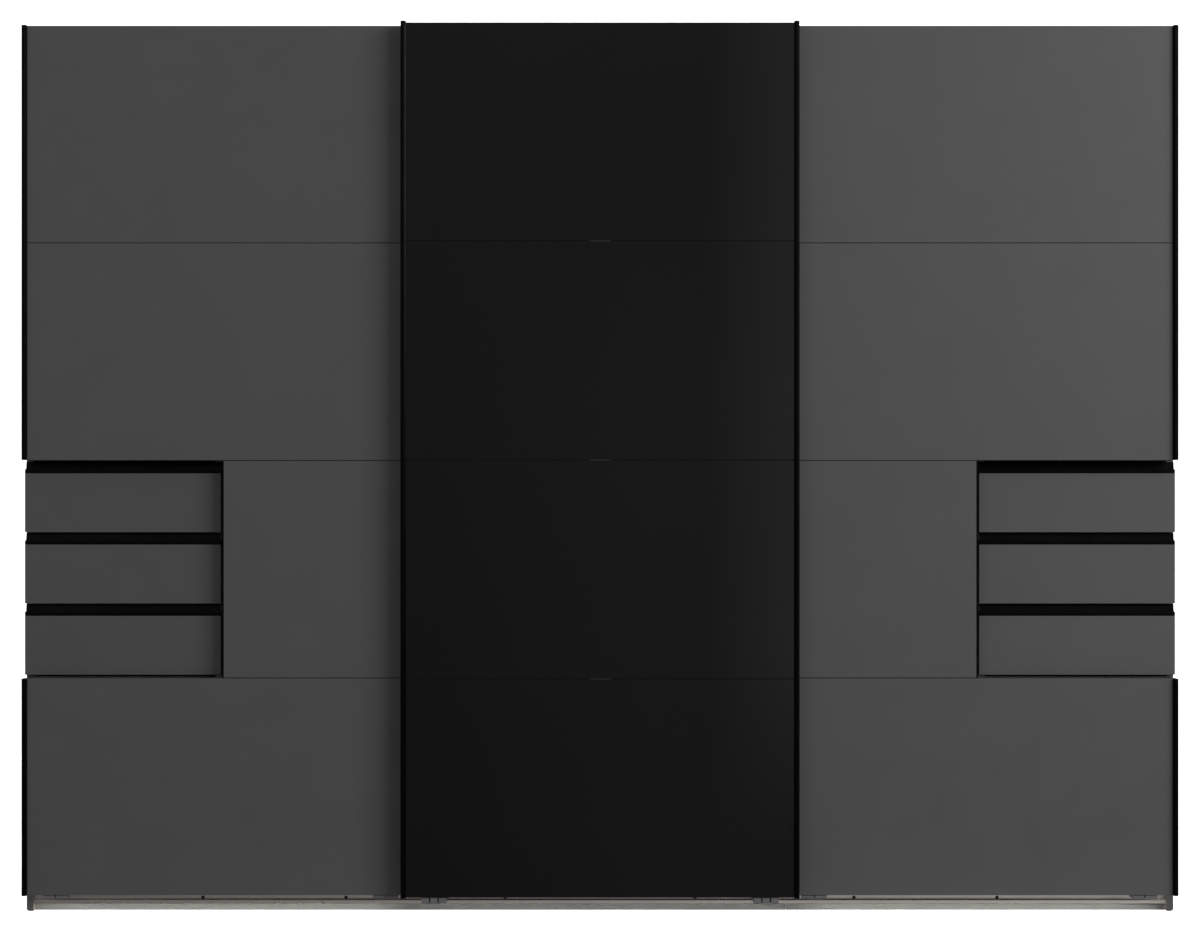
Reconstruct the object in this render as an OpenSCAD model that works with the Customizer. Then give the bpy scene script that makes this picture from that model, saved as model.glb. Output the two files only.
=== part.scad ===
// Three-door sliding wardrobe with external drawers.
// Front faces -Y, +Z is up, the origin is on the floor under the middle of the whole.
// Depths are counted from the foremost plane back into the wardrobe, by at(depth).

/* [Overall] */
// Width over the side panels
width = 2700; // [2250:50:3300]
// Height from the floor to the top of the middle door's grips
height = 2081; // [1950:1:2500]
// Depth from the middle door's grips to the wall
depth = 650; // [620:10:800]

/* [Carcass] */
// Thickness of sides, partitions, shelves and floors
board = 16; // [15:1:22]
// Thickness of the back panels
back_t = 3; // [2.5:0.5:6]
// Underside of the floor boards above the ground
base_z = 22; // [20:1:60]
// How far the plinth stands behind the front edges of the sides
plinth_set = 23; // [22:1:50]
// Height of the hat shelf
hat_z = 1684; // [1400:2:1800]
// Outer diameter of the hanging rail
rail_dia = 25; // [20:1:30]

/* [Doors] */
// Overlap of neighbouring doors when they are closed
overlap = 39; // [30:1:60]
// Underside of the door panels above the underside of the floor boards
door_gap = 24; // [22:1:40]
// Thickness of the outer doors' panels
door_t = 16; // [12:1:20]
// Thickness of the middle door's glass
glass_t = 4; // [3:1:6]
// Thickness of the board behind the glass
carrier_t = 16; // [12:1:19]
// Width of the vertical grip profiles
grip_w = 12.4; // [10:0.2:20]
// How far the grip profiles stand in front of the door's face
grip_proud = 10; // [6:1:12]
// Gap between the panels of a door
joint = 1.6; // [1.2:0.1:3]
// Running gap between the middle door and the grips of the outer doors
pass_gap = 8; // [6:1:12]

/* [Drawers] */
// Width of a drawer front
front_w = 460; // [380:5:520]
// Thickness of a drawer front
front_t = 18; // [16:1:22]
// Height of the lip above a drawer front
lip_h = 9.6; // [8:0.2:14]
// Height of the finger recess above the lip
recess_h = 19.4; // [16:0.2:30]
// Length of a drawer box
box_len = 450; // [350:10:480]
// Thickness of the drawer box sides
box_t = 12; // [11:1:16]

/* [Running gear] */
// Room above the top boards for the running track
track_room = 45; // [45:1:60]
// Radius of a roller over its flanges
roller_r = 14; // [13:0.5:16]
// Width of a roller
roller_w = 12; // [10:1:14]
// Radius of a roller's axle
axle_r = 3; // [2.5:0.5:4]
// Distance of the hangers from the door's edges
hanger_in = 77; // [60:1:120]

/* [Hidden] */
$fn = 48;

fit = 0.1;            // gap between pieces that are pushed or laid together
graphite = [0.27, 0.28, 0.28];
black = [0.03, 0.03, 0.03];
steel = [0.72, 0.73, 0.75];
inside = [0.62, 0.60, 0.57];

// Depth stack, front to back
glass_d = grip_proud;
front_back_d = glass_d + glass_t + carrier_t;
rear_d = front_back_d + pass_gap + grip_proud;
rear_back_d = rear_d + door_t;
drawer_gap = 18;      // between the outer doors' backs and the drawer fronts
drawer_d = rear_back_d + drawer_gap;
seat_gap = 3;         // between the drawer fronts and the carcass
carcass_d = drawer_d + front_t + seat_gap;
back_set = 4;         // the back panels sit this far in from the rear edges
back_d = depth - back_set - back_t;
plinth_d = carcass_d + plinth_set;

// Sideways layout: three equal bays, three doors that overlap
half = width / 2;
bay_w = (width - 4 * board) / 3;
door_w = (width + 2 * overlap) / 3;
door_x = door_w - overlap;             // centre of an outer door, and its travel
partition_x = bay_w / 2;               // face of a partition that looks to the middle bay
unit_x = half - front_w;               // face of the drawer unit's side, away from the drawers
cavity_w = front_w - 2 * board;        // clear width between the sides of the drawer unit

// Heights
glide_h = 3;
floor_z = base_z + board;              // top of the floor boards
door_z = base_z + door_gap;            // underside of the door panels
top_z = height - track_room;           // top of the top boards and the sides
arm_t = 2;
arm_z = height - 0.2 - arm_t;          // underside of the middle door's hanger arms
rear_over = 1;                         // the outer doors' grips stand this far beyond the panels
front_over = 3;                        // and the middle door's grips this far
rear_top = arm_z - 1.3 - rear_over;
front_top = height - front_over;
rows = 4;
rear_pitch = (rear_top - door_z + joint) / rows;
front_pitch = (front_top - door_z + joint) / rows;

// Notch in the outer doors and the drawers behind it
notch_z = door_z + rear_pitch;
notch_h = rear_pitch - joint;
notch_gap = 8;                         // beside the drawer fronts
notch_in = front_w + notch_gap;        // from the outer door edge to the notch's inner edge
low_gap = 4.5;                         // under the lowest drawer front
drawers = 3;
drawer_pitch = (notch_h - low_gap) / drawers;
front_h = drawer_pitch - lip_h - recess_h;
box_z = 10;                            // underside of a drawer box above its front's lower edge
box_h = front_h - 28;
box_side_gap = 2.5;
box_w = cavity_w - 2 * box_side_gap;
groove_h = 17.2;
groove_in = 6.5;
groove_z = box_z + box_h / 2;
runner_h = 16;
runner_w = box_side_gap + 5.8;
runner_d = carcass_d + 12;
runner_len = box_len - 20;
wall_t = 2;                            // sheet of the grip channel

// Top track and rollers
web_t = 3;
rib_t = 3;
rib_h = 7;
root_r = roller_r - 3;
roll_gap = 0.3;
axle_z = top_z + web_t + rib_h + roll_gap + root_r;
rear_roller_d = rear_back_d + 16;
front_roller_d = rear_roller_d + 30;
plate_t = 2.5;
leg_d = front_roller_d - roller_w / 2 - 6;   // the middle door's hanger leg, in front of its roller
track_d0 = rear_back_d + 6;
track_d1 = track_d0 + 80;
hanger_w = 60;
hanger_x = door_w / 2 - hanger_in;

// Bottom rail and guides
flange_t = 2.5;
flange_d = plinth_d - 9;
rail_z0 = base_z - 6;
rail_z1 = floor_z + 20;
fin_d = flange_d - 11;
fin_t = 2;
fin_z1 = base_z + 5;
guide_w = 58;
guide_arm_z = base_z + 9;              // underside of the middle door's guide arms
guide_arm_t = 4.5;
guide_gap = 0.8;                       // between guides and rail
slit_w = 3;
pass_z = rail_z1 + 10;                 // the inner uprights are cut away below this
pass_d = flange_d + flange_t + 9;

function at(d) = d - depth / 2;

// A box between two corners, its depth counted from the front
module slab(x0, x1, d0, d1, z0, z1) {
    translate([x0, at(d0), z0]) cube([x1 - x0, d1 - d0, z1 - z0]);
}

// What is drawn for the left half is mirrored for the right one
module on(side) {
    if (side < 0) children();
    else mirror([1, 0, 0]) children();
}

module both() {
    children();
    mirror([1, 0, 0]) children();
}

// A rod along Y, its depth counted from the front
module rod_y(x, d0, d1, z, r) {
    translate([x, at(d0), z]) rotate([-90, 0, 0]) cylinder(r = r, h = d1 - d0);
}

module rod_x(x0, x1, d, z, r) {
    translate([x0, at(d), z]) rotate([0, 90, 0]) cylinder(r = r, h = x1 - x0);
}

// ---- Carcass ----

shelf_set = 22;        // shelves stay behind the front edges of the sides
shelf_d = carcass_d + shelf_set;
low_shelf_z = (floor_z + notch_z) / 2;
high_shelf_z = (notch_z + notch_h + hat_z) / 2;
pin_r = 2.5;
pin_len = 8;
pin_ds = [shelf_d + 40, back_d - 60];

// Pins under the loose shelves of one outer bay, as rods or as the holes for them
module shelf_pins(extra = 0) {
    for (z = [low_shelf_z, high_shelf_z], d = pin_ds) {
        rod_x(-half + board - pin_len, -half + board + pin_len, d, z - pin_r, pin_r + extra);
        rod_x(-unit_x - board - pin_len, -unit_x - board + pin_len, d, z - pin_r, pin_r + extra);
    }
}

groove_deep = 6;

// The slot in a board that takes the edge of a back panel
module back_slot(x0, x1) {
    slab(x0, x1, back_d - fit, back_d + back_t + fit, base_z - 1, top_z + 1);
}

module side_panel() {
    color(graphite) difference() {
        slab(-half, -half + board, carcass_d, depth, glide_h, top_z);
        back_slot(-half + board - groove_deep, -half + board + 1);
        shelf_pins(0.05);
    }
}

module left_side() { side_panel(); }
module right_side() { on(1) side_panel(); }

module inner_uprights() {
    color(inside) both() difference() {
        union() {
            slab(-partition_x - board, -partition_x, carcass_d, depth, base_z, top_z);
            slab(-unit_x - board, -unit_x, carcass_d, back_d - 2, floor_z, hat_z);
        }
        slab(-half, 0, 0, pass_d, 0, pass_z);
        back_slot(-partition_x - board - 1, -partition_x - board + groove_deep);
        back_slot(-partition_x - groove_deep, -partition_x + 1);
        shelf_pins(0.05);
    }
}

// Left edges of the bays
bay_x = [-half + board, -partition_x, partition_x + board];
cam_r = 7.5;
cam_deep = 12.5;
cam_in = 34;

// Cams in the underside of a board that spans a bay, as pieces or as their pockets
module cams(z, d_front, extra = 0) {
    for (x = bay_x, e = [cam_in, bay_w - cam_in], d = [d_front + 60, back_d - 60])
        translate([x + e, at(d), z]) cylinder(r = cam_r + extra, h = cam_deep + 4 * extra);
}

track_screw_xs = [for (k = [-4 : 4]) k * (width - 240) / 8];
track_screw_d = carcass_d + 27;
screw_r = 2;

module track_screw_shanks(extra = 0) {
    for (x = track_screw_xs)
        translate([x, at(track_screw_d), top_z - 11 - extra])
            cylinder(r = screw_r + extra, h = 11 + web_t + 2 * extra);
}

module top_boards() {
    color(inside) difference() {
        for (x = bay_x) slab(x, x + bay_w, carcass_d, back_d, top_z - board, top_z);
        translate([0, 0, -fit]) cams(top_z - board, carcass_d, 0.05);
        track_screw_shanks(0.05);
        for (x = bracket_xs) bracket_screws(x, 0.05);
    }
}

rail_screw_z = base_z + 9;
rail_screw_xs = [for (k = [0.083, 0.222, 0.347], s = [-1, 1]) s * k * width];

module rail_screw_shanks(extra = 0) {
    for (x = rail_screw_xs)
        rod_y(x, flange_d, flange_d + flange_t + 22 + extra, rail_screw_z, screw_r + extra);
}

module floor_boards() {
    color(inside) difference() {
        for (x = bay_x) slab(x, x + bay_w, flange_d + flange_t, back_d, base_z, floor_z);
        rail_screw_shanks(0.05);
    }
}

module shelves() {
    color(inside) {
        difference() {
            for (x = bay_x) slab(x, x + bay_w, shelf_d, back_d, hat_z, hat_z + board);
            translate([0, 0, -fit]) cams(hat_z, shelf_d, 0.05);
        }
        both() for (z = [notch_z - board - 2, notch_z + notch_h + 2, low_shelf_z, high_shelf_z])
            slab(-half + board + fit, -unit_x - board - fit,
                 (z == low_shelf_z || z == high_shelf_z) ? shelf_d : carcass_d, back_d, z, z + board);
    }
}

strip_w = 26;

module back_panels() {
    mid = joint / 2;
    color(inside) for (x = bay_x) {
        slab(x - groove_deep + 1, x + bay_w / 2 - mid, back_d, back_d + back_t, base_z, top_z);
        slab(x + bay_w / 2 + mid, x + bay_w + groove_deep - 1, back_d, back_d + back_t, base_z, top_z);
    }
}

module back_strips() {
    color(inside) for (x = bay_x) translate([x + bay_w / 2, 0, 0]) {
        slab(-joint / 2 + fit, joint / 2 - fit, back_d, back_d + back_t + 1, base_z, top_z);
        slab(-strip_w / 2, strip_w / 2, back_d + back_t, back_d + back_t + 1.5, base_z, top_z);
    }
}

module plinth_boards() {
    gap = 0.6;
    color([0.55, 0.55, 0.54]) for (d = [plinth_d, back_d - 2 * board]) {
        slab(-half + board, partition_x - gap, d, d + board, 0, base_z);
        slab(partition_x + gap, half - board, d, d + board, 0, base_z);
    }
}

hang_z = hat_z - 60;
hang_d = (shelf_d + back_d) / 2;
tube_t = 1.5;
socket_t = 3;
socket_w = 12;

// A tube between two walls, seated in a round socket on each of them
module hanging_rail(x0, x1) {
    difference() {
        rod_x(x0 + socket_t + fit, x1 - socket_t - fit, hang_d, hang_z, rail_dia / 2);
        rod_x(x0, x1, hang_d, hang_z, rail_dia / 2 - tube_t);
    }
    for (e = [[x0, 1], [x1, -1]]) translate([e[0], 0, 0]) scale([e[1], 1, 1]) difference() {
        union() {
            rod_x(0, socket_t, hang_d, hang_z, rail_dia);
            rod_x(0, socket_w, hang_d, hang_z, rail_dia / 2 + 3);
        }
        rod_x(socket_t, socket_w + 1, hang_d, hang_z, rail_dia / 2 + fit);
    }
}

module hanging_rails() {
    color(steel) {
        hanging_rail(-partition_x, partition_x);
        both() hanging_rail(-unit_x, -partition_x - board);
    }
}

stop_len = 40;

// Flat strips laid together: a base plate, two ribs for the rollers, a lip in front and
// a strip that bears on the front edge of the top boards
module running_track() {
    color(steel) {
        difference() {
            slab(-half, half, track_d0, track_d1, top_z, top_z + web_t);
            track_screw_shanks(0.05);
        }
        for (d = [rear_roller_d, front_roller_d])
            slab(-half, half, d - rib_t / 2, d + rib_t / 2, top_z + web_t + fit, top_z + web_t + rib_h);
        slab(-half, half, carcass_d - 2.6, carcass_d - fit, top_z - board, top_z - fit);
        slab(-half, half, track_d0, track_d0 + 2, top_z - 5, top_z - fit);
    }
}

module track_stops() {
    tall = 26;
    color(black) both() for (d = [rear_roller_d, front_roller_d]) difference() {
        slab(-half + 10, -half + 10 + stop_len, d - 8, d + 8, top_z + web_t, top_z + web_t + tall);
        slab(-half, 0, d - rib_t / 2 - fit, d + rib_t / 2 + fit, top_z, top_z + web_t + rib_h + fit);
    }
}

// A countersunk head, its face flush with the rail's front
module sunk_head(x, extra = 0) {
    translate([x, at(flange_d), rail_screw_z]) rotate([-90, 0, 0])
        cylinder(r1 = 4 + extra, r2 = screw_r + extra, h = 2);
}

// Three flat strips: the flange that is screwed to the floor boards, a base strip in front
// of it and the upright fin on that
module bottom_rail() {
    x = half - board - 1;
    base_top = rail_z0 + 4.5;
    color([0.5, 0.5, 0.49]) {
        difference() {
            slab(-x, x, flange_d, flange_d + flange_t, rail_z0, rail_z1);
            rail_screw_shanks(0.05);
            for (x = rail_screw_xs) sunk_head(x, 0.05);
        }
        slab(-x, x, fin_d, flange_d - fit, rail_z0 + 2, base_top);
        slab(-x, x, fin_d, fin_d + fin_t, base_top + fit, fin_z1);
    }
}

module drawer_runners() {
    color(steel) both() for (k = [0 : drawers - 1]) {
        z = notch_z + low_gap + k * drawer_pitch + groove_z - runner_h / 2;
        slab(-half + board, -half + board + runner_w, runner_d, runner_d + runner_len, z, z + runner_h);
        slab(-unit_x - board - runner_w, -unit_x - board, runner_d, runner_d + runner_len, z, z + runner_h);
    }
}

module floor_glides() {
    color(black) both() for (d = [carcass_d + 5, depth - 65])
        slab(-half + 2, -half + board - 2, d, d + 60, 0, glide_h);
}

bracket_xs = [-half + board + bay_w / 2, half - board - bay_w / 2];
bracket_w = 40;
bracket_t = 2;
bracket_h = 35;
bracket_len = 42;
wall_hole_z = top_z + 22;
wall_hole_r = 2.75;

module bracket_screws(x, extra = 0) {
    for (s = [-1, 1])
        translate([x + s * 10, at(back_d - 20), top_z - 11 - extra])
            cylinder(r = screw_r + extra, h = 11 + bracket_t + 2 * extra);
}

module wall_brackets() {
    color(steel) for (x = bracket_xs) difference() {
        union() {
            slab(x - bracket_w / 2, x + bracket_w / 2, depth - bracket_len, depth, top_z, top_z + bracket_t);
            slab(x - bracket_w / 2, x + bracket_w / 2, depth - bracket_t, depth, top_z, top_z + bracket_h);
        }
        bracket_screws(x, 0.05);
        rod_y(x, depth - bracket_t - 1, depth + 1, wall_hole_z, wall_hole_r);
    }
}

module fixing_screws() {
    color(steel) {
        rail_screw_shanks();
        for (x = rail_screw_xs) sunk_head(x);
        track_screw_shanks();
        for (x = track_screw_xs)
            translate([x, at(track_screw_d), top_z + web_t]) cylinder(r = 4.2, h = 2.2);
        for (x = bracket_xs) {
            bracket_screws(x);
            for (s = [-1, 1]) translate([x + s * 10, at(back_d - 20), top_z + bracket_t])
                cylinder(r = 3.6, h = 2);
        }
    }
}

module board_fittings() {
    color(steel) {
        cams(top_z - board, carcass_d);
        cams(hat_z, shelf_d);
        both() shelf_pins();
    }
}

// ---- Doors ----

grip_wall = 3;
grip_lip = 2;

// Grip profile of the left edge at x, for a panel of thickness t whose face is at depth d
module grip(x, d, t, z0, z1) {
    translate([x, at(d), z0]) linear_extrude(z1 - z0) polygon([
        [0, t + grip_lip], [0, 4 - grip_proud], [4, -grip_proud], [9, -grip_proud], [grip_w, -1.5],
        [grip_w, -fit], [grip_wall, -fit], [grip_wall, t + fit], [grip_w, t + fit], [grip_w, t + grip_lip]]);
}

panel_in = grip_wall + fit;    // the panels' edges sit this far inside the door's edges
edge_t = 3;                    // strip on the notch's upright edge

// An outer door is drawn about the middle of the left one
module at_rear_door() { translate([-door_x, 0, 0]) children(); }

module door_panels() {
    color(graphite) at_rear_door() for (k = [0, 2, 3]) {
        z = door_z + k * rear_pitch;
        slab(-door_w / 2 + panel_in, door_w / 2 - panel_in, rear_d, rear_back_d, z, z + rear_pitch - joint);
    }
}

module door_notch_panel() {
    color(graphite) at_rear_door()
        slab(-door_w / 2 + notch_in + edge_t + fit, door_w / 2 - panel_in, rear_d, rear_back_d,
             notch_z, notch_z + notch_h);
}

module door_profiles() {
    z0 = door_z - rear_over;
    z1 = rear_top + rear_over;
    x = door_w / 2;
    color(black) at_rear_door() {
        grip(-x, rear_d, door_t, z0, notch_z - joint);
        grip(-x, rear_d, door_t, notch_z + notch_h + joint, z1);
        mirror([1, 0, 0]) grip(-x, rear_d, door_t, z0, z1);
        slab(-x + notch_in, -x + notch_in + edge_t, rear_d + 0.5, rear_back_d, notch_z, notch_z + notch_h);
    }
}

flange_h = 12;
strip_back_t = 1.5;

// Strips in the joints: a web between the panels and cover strips behind them, below and
// above. Where the notch is, the cover strip is left off on the open side.
module door_joint_strips() {
    x0 = -door_w / 2 + grip_w + 1;
    x1 = door_w / 2 - grip_w - 1;
    xn = -door_w / 2 + notch_in;
    d = rear_back_d + fit;
    t = strip_back_t - fit;
    color(black) at_rear_door() for (k = [1 : rows - 1]) {
        z = door_z + k * rear_pitch - joint + fit;
        z1 = z + joint - 2 * fit;
        slab(x0, x1, rear_d + 2.5, d + t, z, z1);
        slab(k == 2 ? xn : x0, x1, d, d + t, z1 - flange_h, z - fit);
        slab(k == 1 ? xn : x0, x1, d, d + t, z1 + fit, z + flange_h);
    }
}

axle_end = 2.5;

// Axle with its collar and head, riveted on the plate at depth d0, through the roller at depth d
module axle(x, d0, d) {
    end = d + roller_w / 2 + 1;
    rod_y(x, d0, end + axle_end, axle_z, axle_r);
    rod_y(x, end, end + axle_end, axle_z, axle_r + 2.5);
    rod_y(x, d0, d - roller_w / 2 - 1, axle_z, axle_r + 2);
}

module plate_screws(x, d) {
    for (dx = [-20, 20], dz = [-62, -38]) rod_y(x + dx, d, d + 1.5, axle_z + dz, 4);
}

module door_hangers() {
    color(steel) at_rear_door() for (x = [-hanger_x, hanger_x]) {
        slab(x - hanger_w / 2, x + hanger_w / 2, rear_back_d, rear_back_d + plate_t, axle_z - 75, axle_z + 13);
        axle(x, rear_back_d + plate_t + fit, rear_roller_d);
        plate_screws(x, rear_back_d + plate_t);
    }
}

// The guides straddle the upper edge of the bottom rail
module door_guides() {
    top = rail_z1 + 5;
    low = door_z - 8;
    hook_d0 = flange_d - guide_gap - 4;
    hook_d1 = flange_d + flange_t + guide_gap + 4;
    color([0.45, 0.46, 0.47]) at_rear_door() for (x = [-hanger_x, hanger_x]) translate([x, 0, 0])
        difference() {
            union() {
                slab(-guide_w / 2, guide_w / 2, rear_back_d + fit, rear_back_d + 4, low, door_z + 46);
                slab(-guide_w / 2, guide_w / 2, rear_d + 4, flange_d - guide_gap, low, door_z - 0.5);
                slab(-guide_w / 2, guide_w / 2, hook_d0, flange_d - guide_gap, low, top);
                slab(-guide_w / 2, guide_w / 2, hook_d0, hook_d1, rail_z1 + 1.3, top);
                slab(-guide_w / 2, guide_w / 2, hook_d1 - 4, hook_d1, rail_z1 - 10, top);
            }
            slab(-slit_w / 2, slit_w / 2, 0, rear_d + 14, low - 1, door_z);
        }
}

// Grooved wheel that rolls on a rib of the track
module roller(x, d) {
    w = roller_w;
    color([0.85, 0.84, 0.80]) translate([x, at(d + w / 2), axle_z]) rotate([90, 0, 0]) rotate_extrude()
        polygon([[axle_r + 0.05, 0], [roller_r, 0], [roller_r, 2], [root_r, w / 2 - 1.8],
                 [root_r, w / 2 + 1.8], [roller_r, w - 2], [roller_r, w], [axle_r + 0.05, w]]);
}

module middle_door_glass() {
    x = door_w / 2 - panel_in;
    color(black) for (k = [0 : rows - 1]) {
        z = door_z + k * front_pitch;
        slab(-x, x, glass_d, glass_d + glass_t, z, z + front_pitch - joint);
    }
}

module middle_door_carriers() {
    x = door_w / 2 - panel_in;
    color([0.1, 0.1, 0.1]) for (k = [0 : rows - 1]) {
        z = door_z + k * front_pitch;
        slab(-x, x, glass_d + glass_t, front_back_d, z, z + front_pitch - joint);
    }
}

module middle_door_profiles() {
    color(black) both()
        grip(-door_w / 2, glass_d, glass_t + carrier_t, door_z - front_over + 1, height);
}

clip_w = 51;
clip_h = 2.8;

// Clips hold the glass edges together in the middle of each joint, and a strip backs the joint
module middle_door_clips() {
    x = door_w / 2 - grip_w - 1;
    color(black) for (k = [1 : rows - 1]) {
        z = door_z + k * front_pitch - joint / 2;
        slab(-clip_w / 2, clip_w / 2, glass_d - 0.8, glass_d - fit / 2, z - clip_h / 2, z + clip_h / 2);
        slab(-clip_w / 2, clip_w / 2, glass_d - 0.8, glass_d + glass_t, z - joint / 2 + fit, z + joint / 2 - fit);
        slab(-x, x, glass_d + glass_t, front_back_d + strip_back_t, z - joint / 2 + fit, z + joint / 2 - fit);
        slab(-x, x, front_back_d + fit, front_back_d + strip_back_t, z - flange_h, z + flange_h);
    }
}

// Each hanger is an upright plate, an arm that passes over the outer doors and a leg down to
// the axle, put together from flat steel
module middle_door_hangers() {
    w = hanger_w / 2;
    color(steel) for (x = [-hanger_x, hanger_x]) {
        slab(x - w, x + w, front_back_d, front_back_d + plate_t, axle_z - 75, arm_z - fit);
        slab(x - w, x + w, front_back_d, leg_d + plate_t, arm_z, arm_z + arm_t);
        slab(x - w, x + w, leg_d, leg_d + plate_t, axle_z - 12, arm_z - fit);
        axle(x, leg_d + plate_t + fit, front_roller_d);
        plate_screws(x, front_back_d + plate_t);
    }
}

// Each guide is a foot behind and under the door, a flat arm that passes under the outer
// doors and a tongue under its end, which runs between the rail's fin and flange
module middle_door_guides() {
    w = guide_w / 2;
    z = guide_arm_z;
    foot_d1 = front_back_d + 4;
    arm_d1 = flange_d - guide_gap;
    color([0.45, 0.46, 0.47]) for (x = [-hanger_x, hanger_x]) translate([x, 0, 0]) {
        difference() {
            union() {
                slab(-w, w, front_back_d + fit, foot_d1, z, door_z + 46);
                slab(-w, w, glass_d + 4, foot_d1, z, door_z - 0.5);
            }
            for (s = [-1, 1])
                slab(s * 10 - slit_w / 2, s * 10 + slit_w / 2, 0, front_back_d - 4, z - 1, door_z);
        }
        slab(-w, w, foot_d1 + fit, arm_d1, z, z + guide_arm_t);
        slab(-w, w, fin_d + fin_t + guide_gap, arm_d1, rail_z0 + 6.5, z - fit);
    }
}

// ---- Drawers, k counts from the lowest ----

function front_z(k) = notch_z + low_gap + k * drawer_pitch;

module drawer_front(k) {
    z = front_z(k);
    color(graphite) slab(-half, -half + front_w, drawer_d, drawer_d + front_t, z, z + front_h);
}

// A black channel on top of the front: lip, floor and back wall of the finger recess
module drawer_grip(k) {
    z = front_z(k) + front_h;
    color(black) {
        slab(-half, -half + front_w, drawer_d, drawer_d + wall_t + 0.5, z, z + lip_h);
        slab(-half, -half + front_w, drawer_d, drawer_d + front_t + 1, z, z + wall_t);
        slab(-half, -half + front_w, drawer_d + front_t - 1, drawer_d + front_t + 1, z, z + lip_h + recess_h - 2);
    }
}

bottom_t = 4;

module drawer_box(k) {
    z = front_z(k) + box_z;
    x = box_w / 2;
    d0 = drawer_d + front_t;
    d1 = d0 + box_len;
    panel_x = x - box_t + 5;
    bz = z + 8;
    color(inside) translate([-half + board + cavity_w / 2, 0, 0]) {
        for (s = [0, 1]) mirror([s, 0, 0]) difference() {
            slab(-x, -x + box_t, d0, d1, z, z + box_h);
            slab(-x - 1, -x + groove_in, d0 + 10, d1 + 1,
                 z - box_z + groove_z - groove_h / 2, z - box_z + groove_z + groove_h / 2);
            slab(-panel_x - fit, 0, d0 - 1, d1 + 1, bz - fit, bz + bottom_t + fit);
        }
        slab(-panel_x, panel_x, d0 + 0.5, d1, bz, bz + bottom_t);
        for (d = [d0 + fit, d1 - box_t])
            slab(-x + box_t + fit, x - box_t - fit, d, d + box_t, bz + bottom_t + fit, z + box_h);
    }
}

left_side();
right_side();
inner_uprights();
top_boards();
floor_boards();
shelves();
back_panels();
back_strips();
plinth_boards();
hanging_rails();
running_track();
track_stops();
bottom_rail();
drawer_runners();
floor_glides();
wall_brackets();
fixing_screws();
board_fittings();
on(-1) door_panels();  // left_door_panels
on(-1) door_notch_panel();  // left_door_notch_panel
on(-1) door_profiles();  // left_door_profiles
on(-1) door_joint_strips();  // left_door_joint_strips
on(-1) door_hangers();  // left_door_hangers
on(-1) door_guides();  // left_door_guides
roller(-door_x - hanger_x, rear_roller_d);  // left_door_outer_roller
roller(-door_x + hanger_x, rear_roller_d);  // left_door_inner_roller
on(1) door_panels();  // right_door_panels
on(1) door_notch_panel();  // right_door_notch_panel
on(1) door_profiles();  // right_door_profiles
on(1) door_joint_strips();  // right_door_joint_strips
on(1) door_hangers();  // right_door_hangers
on(1) door_guides();  // right_door_guides
roller(door_x + hanger_x, rear_roller_d);  // right_door_outer_roller
roller(door_x - hanger_x, rear_roller_d);  // right_door_inner_roller
middle_door_glass();
middle_door_carriers();
middle_door_profiles();
middle_door_clips();
middle_door_hangers();
middle_door_guides();
roller(-hanger_x, front_roller_d);  // middle_door_left_roller
roller(hanger_x, front_roller_d);  // middle_door_right_roller
on(-1) drawer_front(2);  // left_top_drawer_front
on(-1) drawer_grip(2);  // left_top_drawer_grip
on(-1) drawer_box(2);  // left_top_drawer_box
on(-1) drawer_front(1);  // left_mid_drawer_front
on(-1) drawer_grip(1);  // left_mid_drawer_grip
on(-1) drawer_box(1);  // left_mid_drawer_box
on(-1) drawer_front(0);  // left_low_drawer_front
on(-1) drawer_grip(0);  // left_low_drawer_grip
on(-1) drawer_box(0);  // left_low_drawer_box
on(1) drawer_front(2);  // right_top_drawer_front
on(1) drawer_grip(2);  // right_top_drawer_grip
on(1) drawer_box(2);  // right_top_drawer_box
on(1) drawer_front(1);  // right_mid_drawer_front
on(1) drawer_grip(1);  // right_mid_drawer_grip
on(1) drawer_box(1);  // right_mid_drawer_box
on(1) drawer_front(0);  // right_low_drawer_front
on(1) drawer_grip(0);  // right_low_drawer_grip
on(1) drawer_box(0);  // right_low_drawer_box
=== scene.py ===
# %% [markdown]
# # A wardrobe with three sliding doors
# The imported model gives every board, door and rail its place. This lesson dresses it: the
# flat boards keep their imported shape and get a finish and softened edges, and the metal
# and plastic parts, whose shape shows more than a box can, are made anew over theirs.

# %% The frame
import math

import bmesh
import bpy
from mathutils import Matrix, Vector


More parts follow.
